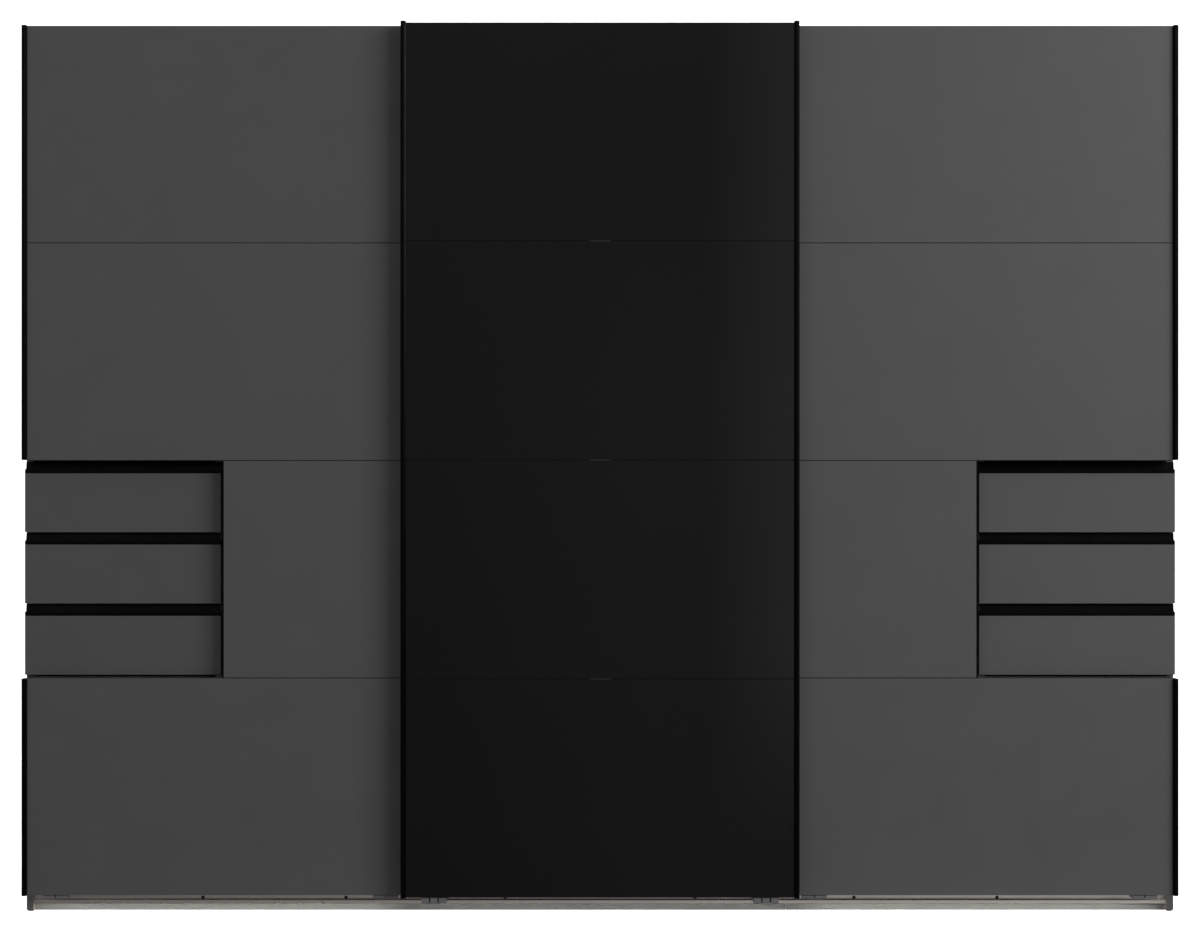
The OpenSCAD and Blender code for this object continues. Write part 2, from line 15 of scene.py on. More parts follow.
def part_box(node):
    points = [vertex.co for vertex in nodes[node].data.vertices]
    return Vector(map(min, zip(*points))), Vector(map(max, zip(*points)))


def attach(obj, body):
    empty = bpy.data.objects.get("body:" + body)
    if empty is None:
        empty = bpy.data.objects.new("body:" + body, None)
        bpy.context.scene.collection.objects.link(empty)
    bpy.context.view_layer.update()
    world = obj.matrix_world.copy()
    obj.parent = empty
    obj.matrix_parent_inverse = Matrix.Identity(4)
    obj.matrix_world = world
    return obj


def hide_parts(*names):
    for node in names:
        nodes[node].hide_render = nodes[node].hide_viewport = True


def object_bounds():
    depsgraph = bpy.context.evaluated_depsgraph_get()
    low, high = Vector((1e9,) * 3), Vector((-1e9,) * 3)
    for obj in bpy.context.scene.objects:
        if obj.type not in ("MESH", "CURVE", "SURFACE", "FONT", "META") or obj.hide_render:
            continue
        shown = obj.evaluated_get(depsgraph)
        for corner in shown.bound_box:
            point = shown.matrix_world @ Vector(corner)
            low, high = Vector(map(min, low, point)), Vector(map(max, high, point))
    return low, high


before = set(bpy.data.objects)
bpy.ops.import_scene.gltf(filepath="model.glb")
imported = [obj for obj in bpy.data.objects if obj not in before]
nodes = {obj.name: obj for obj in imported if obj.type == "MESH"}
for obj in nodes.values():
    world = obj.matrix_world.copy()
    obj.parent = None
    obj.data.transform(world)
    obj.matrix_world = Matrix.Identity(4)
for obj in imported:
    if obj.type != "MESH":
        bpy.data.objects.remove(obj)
cad_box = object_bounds()
print("the packed model holds", len(nodes), "nodes")

# %% [markdown]
# ## Working in millimetres
# A joiner thinks in millimetres, and Blender in metres. All shapes below are drawn in
# millimetres and scaled once, when a mesh is stored. Depths are counted from the foremost
# plane back to the wall, as a joiner would measure them on the end panel.

# %% Sizes read from the frame
MM = 0.001
WELD = 0.01 * MM


def extent(node):
    low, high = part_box(node)
    return [v / MM for v in low], [v / MM for v in high]


def middle_of(node):
    low, high = extent(node)
    return [(a + b) / 2 for a, b in zip(low, high)]


front_y = cad_box[0][1] / MM
wall_y = cad_box[1][1] / MM
top_z = cad_box[1][2] / MM
half_width = cad_box[1][0] / MM
width = 2 * half_width

# Depths from the foremost plane, and the sizes that fix the inner walls
MIDDLE_BACK = 30
OUTER_BACK = 64
CARCASS_FRONT = 103
BOARD = 16
UNIT = 460
FIT = 0.1


def at(depth):
    return front_y + depth


print("width", width, "depth", wall_y - front_y, "height", top_z)

# %% [markdown]
# ## One function for nodes
# A finish is a small network. This helper adds a node, gives it its settings and fills its
# inputs, either with a value or with a link from another node's output.


# %% Adding a node
def add(tree, kind, inputs=None, **settings):
    node = tree.nodes.new(kind)
    for name, value in settings.items():
        setattr(node, name, value)
    for name, value in (inputs or {}).items():
        if isinstance(value, bpy.types.NodeSocket):
            tree.links.new(value, node.inputs[name])
        else:
            node.inputs[name].default_value = value
    return node


def colour(code):
    """A hex colour in sRGB as the linear values that Blender works in."""
    parts = [int(code[i:i + 2], 16) / 255 for i in (1, 3, 5)]
    return tuple(p / 12.92 if p <= 0.04045 else ((p + 0.055) / 1.055) ** 2.4 for p in parts) + (1.0,)


# %% [markdown]
# ## Starting a finish
# Each finish starts with the shader's fixed numbers, and with coordinates that count in
# millimetres, so that a pattern's scale can be the real size of a fibre, pore or thread.

# %% Starting a material
finishes = {}


def start(name, **sockets):
    material = bpy.data.materials.new(name)
    material.use_nodes = True
    tree = material.node_tree
    shader = tree.nodes["Principled BSDF"]
    for socket, value in sockets.items():
        shader.inputs[socket.replace("_", " ")].default_value = value
    place = add(tree, "ShaderNodeTexCoord").outputs["Object"]
    finishes[name] = material
    return tree, shader, place


def pattern(tree, place, size_mm, kind="ShaderNodeTexNoise", stretch=(1, 1, 1), **inputs):
    """A texture whose features are about size_mm across, and longer by stretch."""
    scale = [1 / (MM * size_mm * s) for s in stretch]
    spot = add(tree, "ShaderNodeMapping", {"Vector": place, "Scale": scale})
    return add(tree, kind, {"Vector": spot.outputs["Vector"], "Scale": 1.0, **inputs})


def between(tree, factor, low, high, start_at=0.0, end_at=1.0):
    """Maps a texture's value from one range to another."""
    return add(tree, "ShaderNodeMapRange", {
        "Value": factor, "From Min": start_at, "From Max": end_at,
        "To Min": low, "To Max": high}).outputs["Result"]


def sums(tree, operation, *values):
    node = add(tree, "ShaderNodeMath", dict(enumerate(values)), operation=operation)
    return node.outputs[0]


def mixed(tree, factor, a, b, how="MIX"):
    node = add(tree, "ShaderNodeMix", {"Factor": factor}, data_type="RGBA", blend_type=how)
    for socket, value in (("A", a), ("B", b)):
        target = [s for s in node.inputs if s.name == socket and s.type == "RGBA"][0]
        if isinstance(value, bpy.types.NodeSocket):
            tree.links.new(value, target)
        else:
            target.default_value = value
    return [s for s in node.outputs if s.type == "RGBA"][0]


def tinted(tree, shader, texture, low, high):
    """Colours a finish between two hex codes, as a texture goes."""
    tone = mixed(tree, texture.outputs["Fac"], colour(low), colour(high))
    tree.links.new(tone, shader.inputs["Base Color"])


def dulled(tree, shader, factor, low, high, start_at=0.0, end_at=1.0):
    """Gives a finish a roughness between low and high."""
    rough = between(tree, factor, low, high, start_at, end_at)
    tree.links.new(rough, shader.inputs["Roughness"])


def bumped(tree, shader, height, distance_mm, strength=1.0, below=None):
    inputs = {"Height": height, "Distance": distance_mm * MM, "Strength": strength}
    if below is not None:
        inputs["Normal"] = below
    normal = add(tree, "ShaderNodeBump", inputs).outputs["Normal"]
    tree.links.new(normal, shader.inputs["Normal"])
    return normal


# %% [markdown]
# ## Faced chipboard
# Nearly all of a wardrobe is chipboard pressed between two sheets of melamine-faced paper.
# The doors, drawer fronts and outer sides carry a dull graphite sheet with a fine pearl
# texture; the inside carries a sheet that imitates linen. The narrow edges are closed with
# a plastic band, and the edges against the wall are left raw, so that the chips show.
# One function draws the raw core, and each board uses it where its edges are open.


# %% The raw core of a board
def chip_core(tree, place):
    chips = pattern(tree, place, 2.5, "ShaderNodeTexVoronoi", stretch=(2, 1, 1))
    dust = pattern(tree, place, 0.8, Detail=4.0)
    base = mixed(tree, dust.outputs["Fac"], colour("#7d6346"), colour("#b89a72"))
    return mixed(tree, 0.45, base, chips.outputs["Color"], "SOFT_LIGHT")


def facing(tree):
    """The surface direction in the board's own space, as x, y and z."""
    normal = add(tree, "ShaderNodeTexCoord").outputs["Normal"]
    return add(tree, "ShaderNodeSeparateXYZ", {"Vector": normal}).outputs


def over(tree, value, limit):
    return sums(tree, "GREATER_THAN", value, limit)


def size_of(tree, value):
    return sums(tree, "ABSOLUTE", value)


# %% [markdown]
# ### Graphite melamine
# A super-matt decor paper under clear resin: nearly neutral grey, with a pearl embossing
# about 0.6 mm wide that spreads reflections widely. Hands leave slightly smoother patches
# of about a hand's width, and the paper's ink varies by a percent or two.


# %% Graphite melamine
def graphite_decor(tree, place):
    ink = pattern(tree, place, 140, Detail=3.0, Roughness=0.5)
    grit = pattern(tree, place, 0.6, Detail=2.0)
    tone = between(tree, ink.outputs["Fac"], 0.0, 1.0, 0.3, 0.7)
    cloud = mixed(tree, tone, colour("#4a4a4a"), colour("#4c4c4c"))
    speck = between(tree, grit.outputs["Fac"], 0.0, 0.5, 0.55, 0.75)
    return mixed(tree, speck, cloud, colour("#565656"))


def graphite_melamine():
    tree, shader, place = start("graphite_melamine", IOR=1.5)
    side = facing(tree)
    face = graphite_decor(tree, place)
    band = mixed(tree, over(tree, size_of(tree, side["Y"]), 0.5), colour("#444444"), face)
    tree.links.new(band, shader.inputs["Base Color"])
    hands = pattern(tree, place, 95, Detail=2.0, Distortion=0.4)
    dulled(tree, shader, hands.outputs["Fac"], 0.50, 0.60, 0.35, 0.65)
    pearl = pattern(tree, place, 0.6, Detail=1.0)
    bumped(tree, shader, pearl.outputs["Fac"], 0.02, 0.6)


graphite_melamine()

# %% [markdown]
# ### Linen melamine
# The inside decor prints a plain weave in warm greys. Its threads are drawn about 1.2 mm
# wide and 2.4 mm apart, coarser than the printed 0.8 mm, so that they still show from
# arm's length. Two crossed wave patterns make warp and weft, each broken up by noise. One
# goes along X and one along Z, so the backs show both, and sides and shelves only one.


# %% Linen melamine
def linen_decor(tree, place, thread_mm=1.2):
    threads = []
    for axis in ("X", "Z"):
        wave = pattern(tree, place, thread_mm * math.tau, "ShaderNodeTexWave", Distortion=1.6, Detail=2.0)
        wave.bands_direction = axis
        wave.inputs["Detail Scale"].default_value = 2.0
        threads.append(wave.outputs["Fac"])
    slub = pattern(tree, place, 6, stretch=(6, 6, 1), Detail=3.0)
    weave = sums(tree, "MULTIPLY", threads[0], threads[1])
    cloth = mixed(tree, weave, colour("#a8a095"), colour("#c9c3b8"))
    worn = mixed(tree, between(tree, slub.outputs["Fac"], 0.0, 0.6, 0.4, 0.7), cloth, colour("#b9b2a6"))
    return worn, weave


def linen_melamine():
    tree, shader, place = start("linen_melamine", IOR=1.5)
    side = facing(tree)
    cloth, weave = linen_decor(tree, place)
    raw = over(tree, side["Y"], 0.5)
    tree.links.new(mixed(tree, raw, cloth, chip_core(tree, place)), shader.inputs["Base Color"])
    dulled(tree, shader, weave, 0.46, 0.58)
    bumped(tree, shader, weave, 0.03, 0.5)


linen_melamine()

# %% [markdown]
# ### End panels
# The end panels wear both papers: graphite outside and on the front edge, linen inside.
# Their edges to the wall and to the top stay raw. The finish picks the sheet by the
# direction in which the surface looks, seen from the middle of the wardrobe.


# %% End panels
def end_panel():
    tree, shader, place = start("end_panel_board", IOR=1.5)
    side = facing(tree)
    spot = add(tree, "ShaderNodeSeparateXYZ", {"Vector": place}).outputs
    inward = sums(tree, "MULTIPLY", side["X"], spot["X"])
    inner = sums(tree, "LESS_THAN", inward, -0.5)
    cloth, _ = linen_decor(tree, place)
    skin = mixed(tree, inner, graphite_decor(tree, place), cloth)
    rear = over(tree, side["Y"], 0.5)
    upper = over(tree, side["Z"], 0.5)
    raw = sums(tree, "MAXIMUM", rear, upper)
    tree.links.new(mixed(tree, raw, skin, chip_core(tree, place)), shader.inputs["Base Color"])
    scuffs = pattern(tree, place, 60, Detail=3.0)
    dulled(tree, shader, scuffs.outputs["Fac"], 0.46, 0.58, 0.35, 0.65)
    pearl = pattern(tree, place, 0.6, Detail=1.0)
    bumped(tree, shader, pearl.outputs["Fac"], 0.02, 0.6)


end_panel()

# %% [markdown]
# ### Thin backs, plinth and the board behind the glass
# The back is 3 mm fibreboard: printed linen to the inside, and to the wall the bare brown
# board with its felted fibres and the fine screen mesh of the press. The plinth is wrapped
# in a mid-grey foil. The glass is glued on a black-stained board, whose fibres still show
# on its edges.


# %% Thin fibreboard
def fibreboard():
    tree, shader, place = start("faced_fibreboard", IOR=1.5)
    side = facing(tree)
    cloth, _ = linen_decor(tree, place)
    felt = pattern(tree, place, 3.0, stretch=(1.6, 1, 1), Detail=6.0, Roughness=0.7)
    brown = mixed(tree, felt.outputs["Fac"], colour("#6a4a2c"), colour("#a5804f"))
    screen = pattern(tree, place, 1.8 * math.tau, "ShaderNodeTexWave")
    screen.bands_direction = "DIAGONAL"
    rear = over(tree, side["Y"], 0.5)
    tree.links.new(mixed(tree, rear, cloth, brown), shader.inputs["Base Color"])
    dulled(tree, shader, felt.outputs["Fac"], 0.55, 0.8)
    bumped(tree, shader, screen.outputs["Fac"], 0.06, 0.4)


fibreboard()


# %% Foiled plinth board
def plinth_foil():
    tree, shader, place = start("plinth_foil", IOR=1.5)
    grain = pattern(tree, place, 2.2, stretch=(30, 1, 1), Detail=4.0)
    tinted(tree, shader, grain, "#83827c", "#908f89")
    dust = pattern(tree, place, 45, Detail=4.0)
    dulled(tree, shader, dust.outputs["Fac"], 0.42, 0.6, 0.3, 0.7)
    bumped(tree, shader, grain.outputs["Fac"], 0.03, 0.5)


plinth_foil()


# %% Black-stained carrier board
def stained_board():
    tree, shader, place = start("stained_fibreboard", IOR=1.5)
    fibre = pattern(tree, place, 1.5, stretch=(3, 1, 3), Detail=5.0, Roughness=0.65)
    tinted(tree, shader, fibre, "#17181a", "#2c2d2e")
    dulled(tree, shader, fibre.outputs["Fac"], 0.6, 0.8)
    bumped(tree, shader, fibre.outputs["Fac"], 0.05, 0.5)


stained_board()

# %% [markdown]
# ## Lacquered glass
# Float glass painted black on its back looks like deep black water: the paint gives the
# colour, the polished front a clear reflection of about 4% head on. Float glass is never
# quite flat, so long, very shallow waves bend the reflections a little, and a few wiped
# smears make the gloss uneven.


# %% Back-lacquered glass
def lacquered_glass():
    tree, shader, place = start("back_lacquered_glass", IOR=1.52, Coat_Weight=0.0)
    depth = pattern(tree, place, 300, Detail=1.0)
    tinted(tree, shader, depth, "#060707", "#090a0a")
    wiped = pattern(tree, place, 60, stretch=(1, 1, 4), Detail=5.0, Distortion=0.8)
    dulled(tree, shader, wiped.outputs["Fac"], 0.015, 0.06, 0.35, 0.75)
    waves = pattern(tree, place, 160, stretch=(2.5, 1, 1), Detail=0.0)
    bumped(tree, shader, waves.outputs["Fac"], 0.05, 0.5)


lacquered_glass()

# %% [markdown]
# ## Anodised aluminium
# Both are pressed through a die, which draws fine lines along their length, and are then
# anodised. The grips are dyed black: the dye sits in the oxide, and the metal shines through
# it dark and satin. The rails keep the metal's own grey under a clear oxide.


# %% Black anodised and clear anodised aluminium
def anodised(name, low, high, metallic, rough, stretch):
    tree, shader, place = start(name, Metallic=metallic)
    lines = pattern(tree, place, 0.5, stretch=stretch, Detail=3.0)
    tinted(tree, shader, lines, low, high)
    rubbed = pattern(tree, place, 35, Detail=3.0)
    dulled(tree, shader, rubbed.outputs["Fac"], rough - 0.05, rough + 0.06, 0.3, 0.7)
    bumped(tree, shader, lines.outputs["Fac"], 0.015, 0.5)


anodised("black_anodised_aluminium", "#0e0e0e", "#161616", 1.0, 0.36, (1, 1, 300))
anodised("clear_anodised_aluminium", "#bdb7b1", "#cbc5bf", 1.0, 0.30, (300, 1, 1))

# %% [markdown]
# ## Steel
# Zinc plating dries in cloudy patches of about a centimetre, faintly blue and yellow. The
# hanging rail is chromed: a mirror with a touch of blue, and hairline scratches round it
# where hangers have slid. The screws of the bottom rail are blackened in oil.


# %% Zinc-plated steel
def zinc_steel():
    tree, shader, place = start("zinc_plated_steel", Metallic=1.0)
    cloud = pattern(tree, place, 11, Detail=3.0, Distortion=1.0)
    tinted(tree, shader, cloud, "#a9adb4", "#c9c6b8")
    dulled(tree, shader, cloud.outputs["Fac"], 0.26, 0.42, 0.3, 0.7)
    roll = pattern(tree, place, 0.7, stretch=(8, 1, 1), Detail=2.0)
    bumped(tree, shader, roll.outputs["Fac"], 0.02, 0.4)


zinc_steel()


# %% Blackened steel
def blackened_steel():
    tree, shader, place = start("blackened_steel", Metallic=1.0)
    oil = pattern(tree, place, 1.5, Detail=3.0)
    tinted(tree, shader, oil, "#2b2b2c", "#3a3938")
    dulled(tree, shader, oil.outputs["Fac"], 0.35, 0.5, 0.3, 0.7)
    bumped(tree, shader, oil.outputs["Fac"], 0.01, 0.4)


blackened_steel()


# %% Chromed tube
def chromed_tube():
    tree, shader, place = start("chromed_steel", Metallic=1.0)
    film = pattern(tree, place, 25, stretch=(3, 1, 1), Detail=2.0)
    tinted(tree, shader, film, "#d3d7db", "#e2e4e6")
    rings = pattern(tree, place, 0.8, stretch=(1, 40, 40), Detail=2.0)
    dulled(tree, shader, rings.outputs["Fac"], 0.05, 0.22, 0.55, 0.8)
    bumped(tree, shader, rings.outputs["Fac"], 0.004, 0.4)


chromed_tube()

# %% [markdown]
# ## Moulded plastics
# Four plastics do the hidden work: black ABS for strips, clips and stops, grey glass-filled
# nylon for the guides, cream acetal for the rollers, and white polypropylene for the drawer
# runners. Each has the faint spark-eroded texture of its mould, 0.3 to 0.5 mm across.


# %% ABS, nylon, acetal and polypropylene
def moulded(name, low, high, rough, grain_mm, ior, streak=(1, 1, 1)):
    tree, shader, place = start(name, IOR=ior)
    flow = pattern(tree, place, 14, stretch=streak, Detail=3.0, Distortion=0.6)
    tinted(tree, shader, flow, low, high)
    grain = pattern(tree, place, grain_mm, Detail=2.0)
    dulled(tree, shader, flow.outputs["Fac"], rough - 0.05, rough + 0.08, 0.3, 0.7)
    bumped(tree, shader, grain.outputs["Fac"], 0.02, 0.6)


moulded("black_abs", "#080808", "#0f0f0f", 0.45, 0.4, 1.53)
moulded("grey_nylon", "#5b5c60", "#6a6b6e", 0.4, 0.5, 1.53, (3, 1, 1))
moulded("cream_acetal", "#d8d2c0", "#e3decf", 0.35, 0.3, 1.48)
moulded("white_polypropylene", "#cfcdc6", "#dcdad4", 0.4, 0.4, 1.49)
print("finishes:", ", ".join(finishes))

# %% [markdown]
# ## Boards that keep their shape
# A board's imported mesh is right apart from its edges, which are knife-sharp. Welding the
# doubled corner points and adding a narrow bevel gives each edge the small rounding that
# a banding machine leaves, and that catches a thin line of light. Modifiers leave the
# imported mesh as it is.


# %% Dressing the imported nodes
def soften(piece, edge_mm, steps=2):
    edge = piece.modifiers.new("edge", "BEVEL")
    edge.width = edge_mm * MM
    edge.segments = steps
    edge.limit_method = "ANGLE"
    edge.angle_limit = math.radians(40)
    edge.harden_normals = True


def dress(finish, *names, edge_mm=0.5, steps=2):
    for name in names:
        piece = nodes[name]
        for slot in piece.material_slots:
            slot.material = finishes[finish]
        weld = piece.modifiers.new("weld", "WELD")
        weld.merge_threshold = WELD
        soften(piece, edge_mm, steps)
    print(finish, "on", len(names), "packed nodes")


sides = ("left", "right")
levels = ("top", "mid", "low")
drawers = [f"{s}_{k}_drawer" for s in sides for k in levels]
dress("end_panel_board", "left_side", "right_side", edge_mm=0.6)
dress("graphite_melamine", *[f"{s}_door_{p}" for s in sides for p in ("panels", "notch_panel")],
      *[d + "_front" for d in drawers], edge_mm=0.7)
dress("linen_melamine", "inner_uprights", "top_boards", "floor_boards", "shelves",
      *[d + "_box" for d in drawers])
dress("faced_fibreboard", "back_panels", edge_mm=0.3)
dress("plinth_foil", "plinth_boards")
dress("stained_fibreboard", "middle_door_carriers", edge_mm=0.4)
dress("back_lacquered_glass", "middle_door_glass", edge_mm=0.8, steps=3)
dress("black_abs", "middle_door_clips", "left_door_joint_strips", "right_door_joint_strips",
      "back_strips", edge_mm=0.25)
dress("black_abs", "floor_glides", "track_stops", edge_mm=1.0, steps=3)
dress("zinc_plated_steel", "board_fittings", "wall_brackets", edge_mm=0.3)

# %% [markdown]
# ## Tools for made pieces
# Everything else is extruded, turned, pressed or moulded in reality, and is made the same
# way here. An outline with rounded corners is pushed along an axis to give a profile; a
# half section is turned round an axis to give a roller. Both write into a bmesh, which is
# recalculated, scaled and stored once. Rounded corners are in the outline itself, so each
# edge catches light without a bevel.


# %% Outlines and profiles
def rounded(*corners, steps=3):
    """A closed outline from corners (u, v, radius)."""
    points = []
    for i, (u, v, radius) in enumerate(corners):
        here = Vector((u, v))
        if radius == 0:
            points.append(here)
            continue
        back = (Vector(corners[i - 1][:2]) - here).normalized()
        ahead = (Vector(corners[(i + 1) % len(corners)][:2]) - here).normalized()
        angle = back.angle(ahead)
        centre = here + (back + ahead).normalized() * radius / math.sin(angle / 2)
        first = here + back * radius / math.tan(angle / 2) - centre
        last = here + ahead * radius / math.tan(angle / 2) - centre
        for k in range(steps + 1):
            points.append(centre + first.lerp(last, k / steps).normalized() * radius)
    return points


def bar(u0, v0, u1, v1, radius):
    """A rounded rectangle as an outline."""
    return rounded((u0, v0, radius), (u1, v0, radius), (u1, v1, radius), (u0, v1, radius))


def along(axis, u, v, w):
    """A point at (u, v) across an axis and w along it."""
    return {"x": (w, u, v), "y": (u, w, v), "z": (u, v, w)}[axis]


def fill(bm, rings):
    """A flat face inside a ring of points, with the further rings as holes in it."""
    if len(rings) == 1:
        return [bm.faces.new(rings[0])]
    edges = []
    for ring in rings:
        for a, b in zip(ring, ring[1:] + ring[:1]):
            edges.append(bm.edges.get((a, b)) or bm.edges.new((a, b)))
    done = bmesh.ops.triangle_fill(bm, use_beauty=True, edges=edges)["geom"]
    return [f for f in done if isinstance(f, bmesh.types.BMFace)]


def skirt(bm, a, b):
    """Faces between two rings that have the same number of points."""
    for i in range(len(a)):
        j = (i + 1) % len(a)
        bm.faces.new((a[i], a[j], b[j], b[i]))


def profile(bm, outline, axis, low, high, holes=()):
    """Pushes an outline along an axis, from low to high."""
    ends = []
    for w in (low, high):
        ends.append([[bm.verts.new(along(axis, u, v, w)) for u, v in ring] for ring in (outline, *holes)])
        fill(bm, ends[-1])
    for a, b in zip(*ends):
        skirt(bm, a, b)


def turned(bm, section, centre, axis, steps=32):
    """Turns a closed half section of (radius, height) points round an axis through centre."""
    rings = []
    for radius, height in section:
        count = steps if radius > 0 else 1
        ring = []
        for k in range(count):
            a = math.tau * k / steps
            offset = along(axis, radius * math.cos(a), radius * math.sin(a), height)
            ring.append(bm.verts.new(Vector(centre) + Vector(offset)))
        rings.append(ring)
    for a, b in zip(rings, rings[1:] + rings[:1]):
        for k in range(steps):
            n = (k + 1) % steps
            loop = [a[k % len(a)], a[n % len(a)], b[n % len(b)], b[k % len(b)]]
            loop = list(dict.fromkeys(loop))
            if len(loop) > 2:
                bm.faces.new(loop)


# %% [markdown]
# Slots and slits are cut with a boolean, as a mill would cut them. Storing a piece also
# gives it its finish and its body, and hides the nodes it stands for.


# %% Cutting and storing
def in_scene(name, bm):
    """An object from a bmesh that is in metres."""
    mesh = bpy.data.meshes.new(name)
    bm.to_mesh(mesh)
    bm.free()
    piece = bpy.data.objects.new(name, mesh)
    bpy.context.collection.objects.link(piece)
    return piece


def as_object(name, bm):
    """An object from a bmesh that is in millimetres."""
    bmesh.ops.recalc_face_normals(bm, faces=bm.faces)
    bmesh.ops.scale(bm, vec=(MM, MM, MM), verts=bm.verts)
    return in_scene(name, bm)


def joined(target, source):
    keep = bpy.data.meshes.new("part")
    source.to_mesh(keep)
    source.free()
    target.from_mesh(keep)


def cut(bm, cutter):
    """The first mesh without the space of the second."""
    piece, tool = as_object("uncut", bm), as_object("tool", cutter)
    boolean = piece.modifiers.new("cut", "BOOLEAN")
    boolean.object = tool
    boolean.solver = "EXACT"
    ready = piece.evaluated_get(bpy.context.evaluated_depsgraph_get()).to_mesh()
    result = bmesh.new()
    result.from_mesh(ready)
    bmesh.ops.scale(result, vec=(1 / MM,) * 3, verts=result.verts)
    for used in (piece, tool):
        bpy.data.objects.remove(used)
    return result


def store(name, bm, finish, body, slot, *stands_for, edge_mm=0.0, smooth_below=35):
    piece = as_object(name, bm)
    for face in piece.data.polygons:
        face.use_smooth = True
    piece.data.set_sharp_from_angle(angle=math.radians(smooth_below))
    piece.data.materials.append(finishes[finish])
    if edge_mm:
        soften(piece, edge_mm)
    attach(piece, body)
    if stands_for:
        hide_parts(*stands_for)
    print(name, "has", len(piece.data.polygons), "faces")
    return piece


def store_steel(name, bm, body, *stands_for, edge_mm=0.0):
    store(name, bm, "zinc_plated_steel", body, "zinc_steel", *stands_for, edge_mm=edge_mm)


# %% [markdown]
# ## Grip profiles
# Each door hangs between two black extrusions that grip the panel's edge and stand 10 mm
# proud as a handle. The section is a hollow nose with a sloped inner flank for the
# fingers, and a channel behind it that holds the panel. A fine groove runs down the nose,
# and plastic caps with chamfered rims close the ends. The outer doors' outer grips stop
# above and below the drawers.

# %% Section of a grip
PROUD = 10
GRIP_WIDTH = 12.4
CAP = 2
EDGE_STRIP = 3


def grip_outline(thick):
    return rounded(
        (0, thick + 2, 0.6), (0, -6, 1), (4, -PROUD, 1.2), (6.1, -PROUD, 0.1), (6.3, -9.5, 0.1),
        (6.7, -9.5, 0.1), (6.9, -PROUD, 0.1), (9, -PROUD, 0.9), (GRIP_WIDTH, -1.5, 0.4),
        (GRIP_WIDTH, -0.1, 0), (3, -0.1, 0.3), (3, thick + 0.1, 0.3), (GRIP_WIDTH, thick + 0.1, 0),
        (GRIP_WIDTH, thick + 2, 0.5))


CHAMBER = rounded(
    (1.8, -1.9, 0.4), (1.8, -5.3, 0.4), (4.7, -8.2, 0.4), (8.0, -8.2, 0.4), (10.2, -1.9, 0.4))
CAP_OUTLINE = rounded(
    (0.1, -0.2, 0.3), (0.1, -6, 1), (4, -9.9, 1.2), (9, -9.9, 0.9), (12.3, -1.6, 0.4),
    (12.3, -0.2, 0.2))


def placed(outline, x, y, side):
    return [(x + side * u, y + v) for u, v in outline]


def grip(bm, x, y, side, thick, low, high):
    outline, chamber = placed(grip_outline(thick), x, y, side), placed(CHAMBER, x, y, side)
    profile(bm, outline, "z", low + CAP, high - CAP, [chamber])


def cap(bm, x, y, side, end, inward):
    """A cap from the cut end of a grip to end, narrowing over its last millimetre."""
    middle = Vector((6.2, -5))
    small = [middle + (Vector(p) - middle) * 0.86 for p in CAP_OUTLINE]
    rings = []
    for outline, rise in ((CAP_OUTLINE, CAP), (CAP_OUTLINE, 0.9), (small, 0)):
        z = end + inward * rise
        rings.append([bm.verts.new((*p, z)) for p in placed(outline, x, y, side)])
    bm.faces.new(rings[0])
    bm.faces.new(rings[-1])
    for a, b in zip(rings, rings[1:]):
        skirt(bm, a, b)


# %% Grips of the three doors
def door_grips(name, notch=None):
    """Grips, caps and, on a door with a notch, the strip on the notch's upright edge."""
    node = name + "_profiles"
    low, high = extent(node)
    y = low[1] + PROUD
    thick = high[1] - y - 2
    outer = -1 if low[0] + high[0] < 0 else 1
    spans = {-1: [(low[2], high[2])], 1: [(low[2], high[2])]}
    bars, caps = bmesh.new(), bmesh.new()
    if notch:
        n_low, n_high = extent(notch)
        seam = 1.6
        spans[outer] = [(low[2], n_low[2] - seam), (n_high[2] + seam, high[2])]
        edge = n_low[0] - 0.1 if outer < 0 else n_high[0] + 0.1
        x0, x1 = sorted((edge, edge + outer * EDGE_STRIP))
        profile(bars, bar(x0, y + 0.5, x1, y + thick, 0.5), "z", n_low[2], n_high[2])
    for side, x in ((-1, low[0]), (1, high[0])):
        for z0, z1 in spans[side]:
            grip(bars, x, y, -side, thick, z0, z1)
            cap(caps, x, y, -side, z0, 1)
            cap(caps, x, y, -side, z1, -1)
    store(name + "_grips", bars, "black_anodised_aluminium", name, "black_profile", node)
    store(name + "_grip_caps", caps, "black_abs", name, "black_plastic")


door_grips("left_door", "left_door_notch_panel")
door_grips("right_door", "right_door_notch_panel")
door_grips("middle_door")

# %% [markdown]
# ## Finger channels of the drawers
# The drawers have no handles. A black channel lies on top of each front: its lip stands up
# in front, and the fingers go behind it, against the back wall of the recess. It is one
# rounded profile as wide as the front, closed at both ends by moulded gussets.


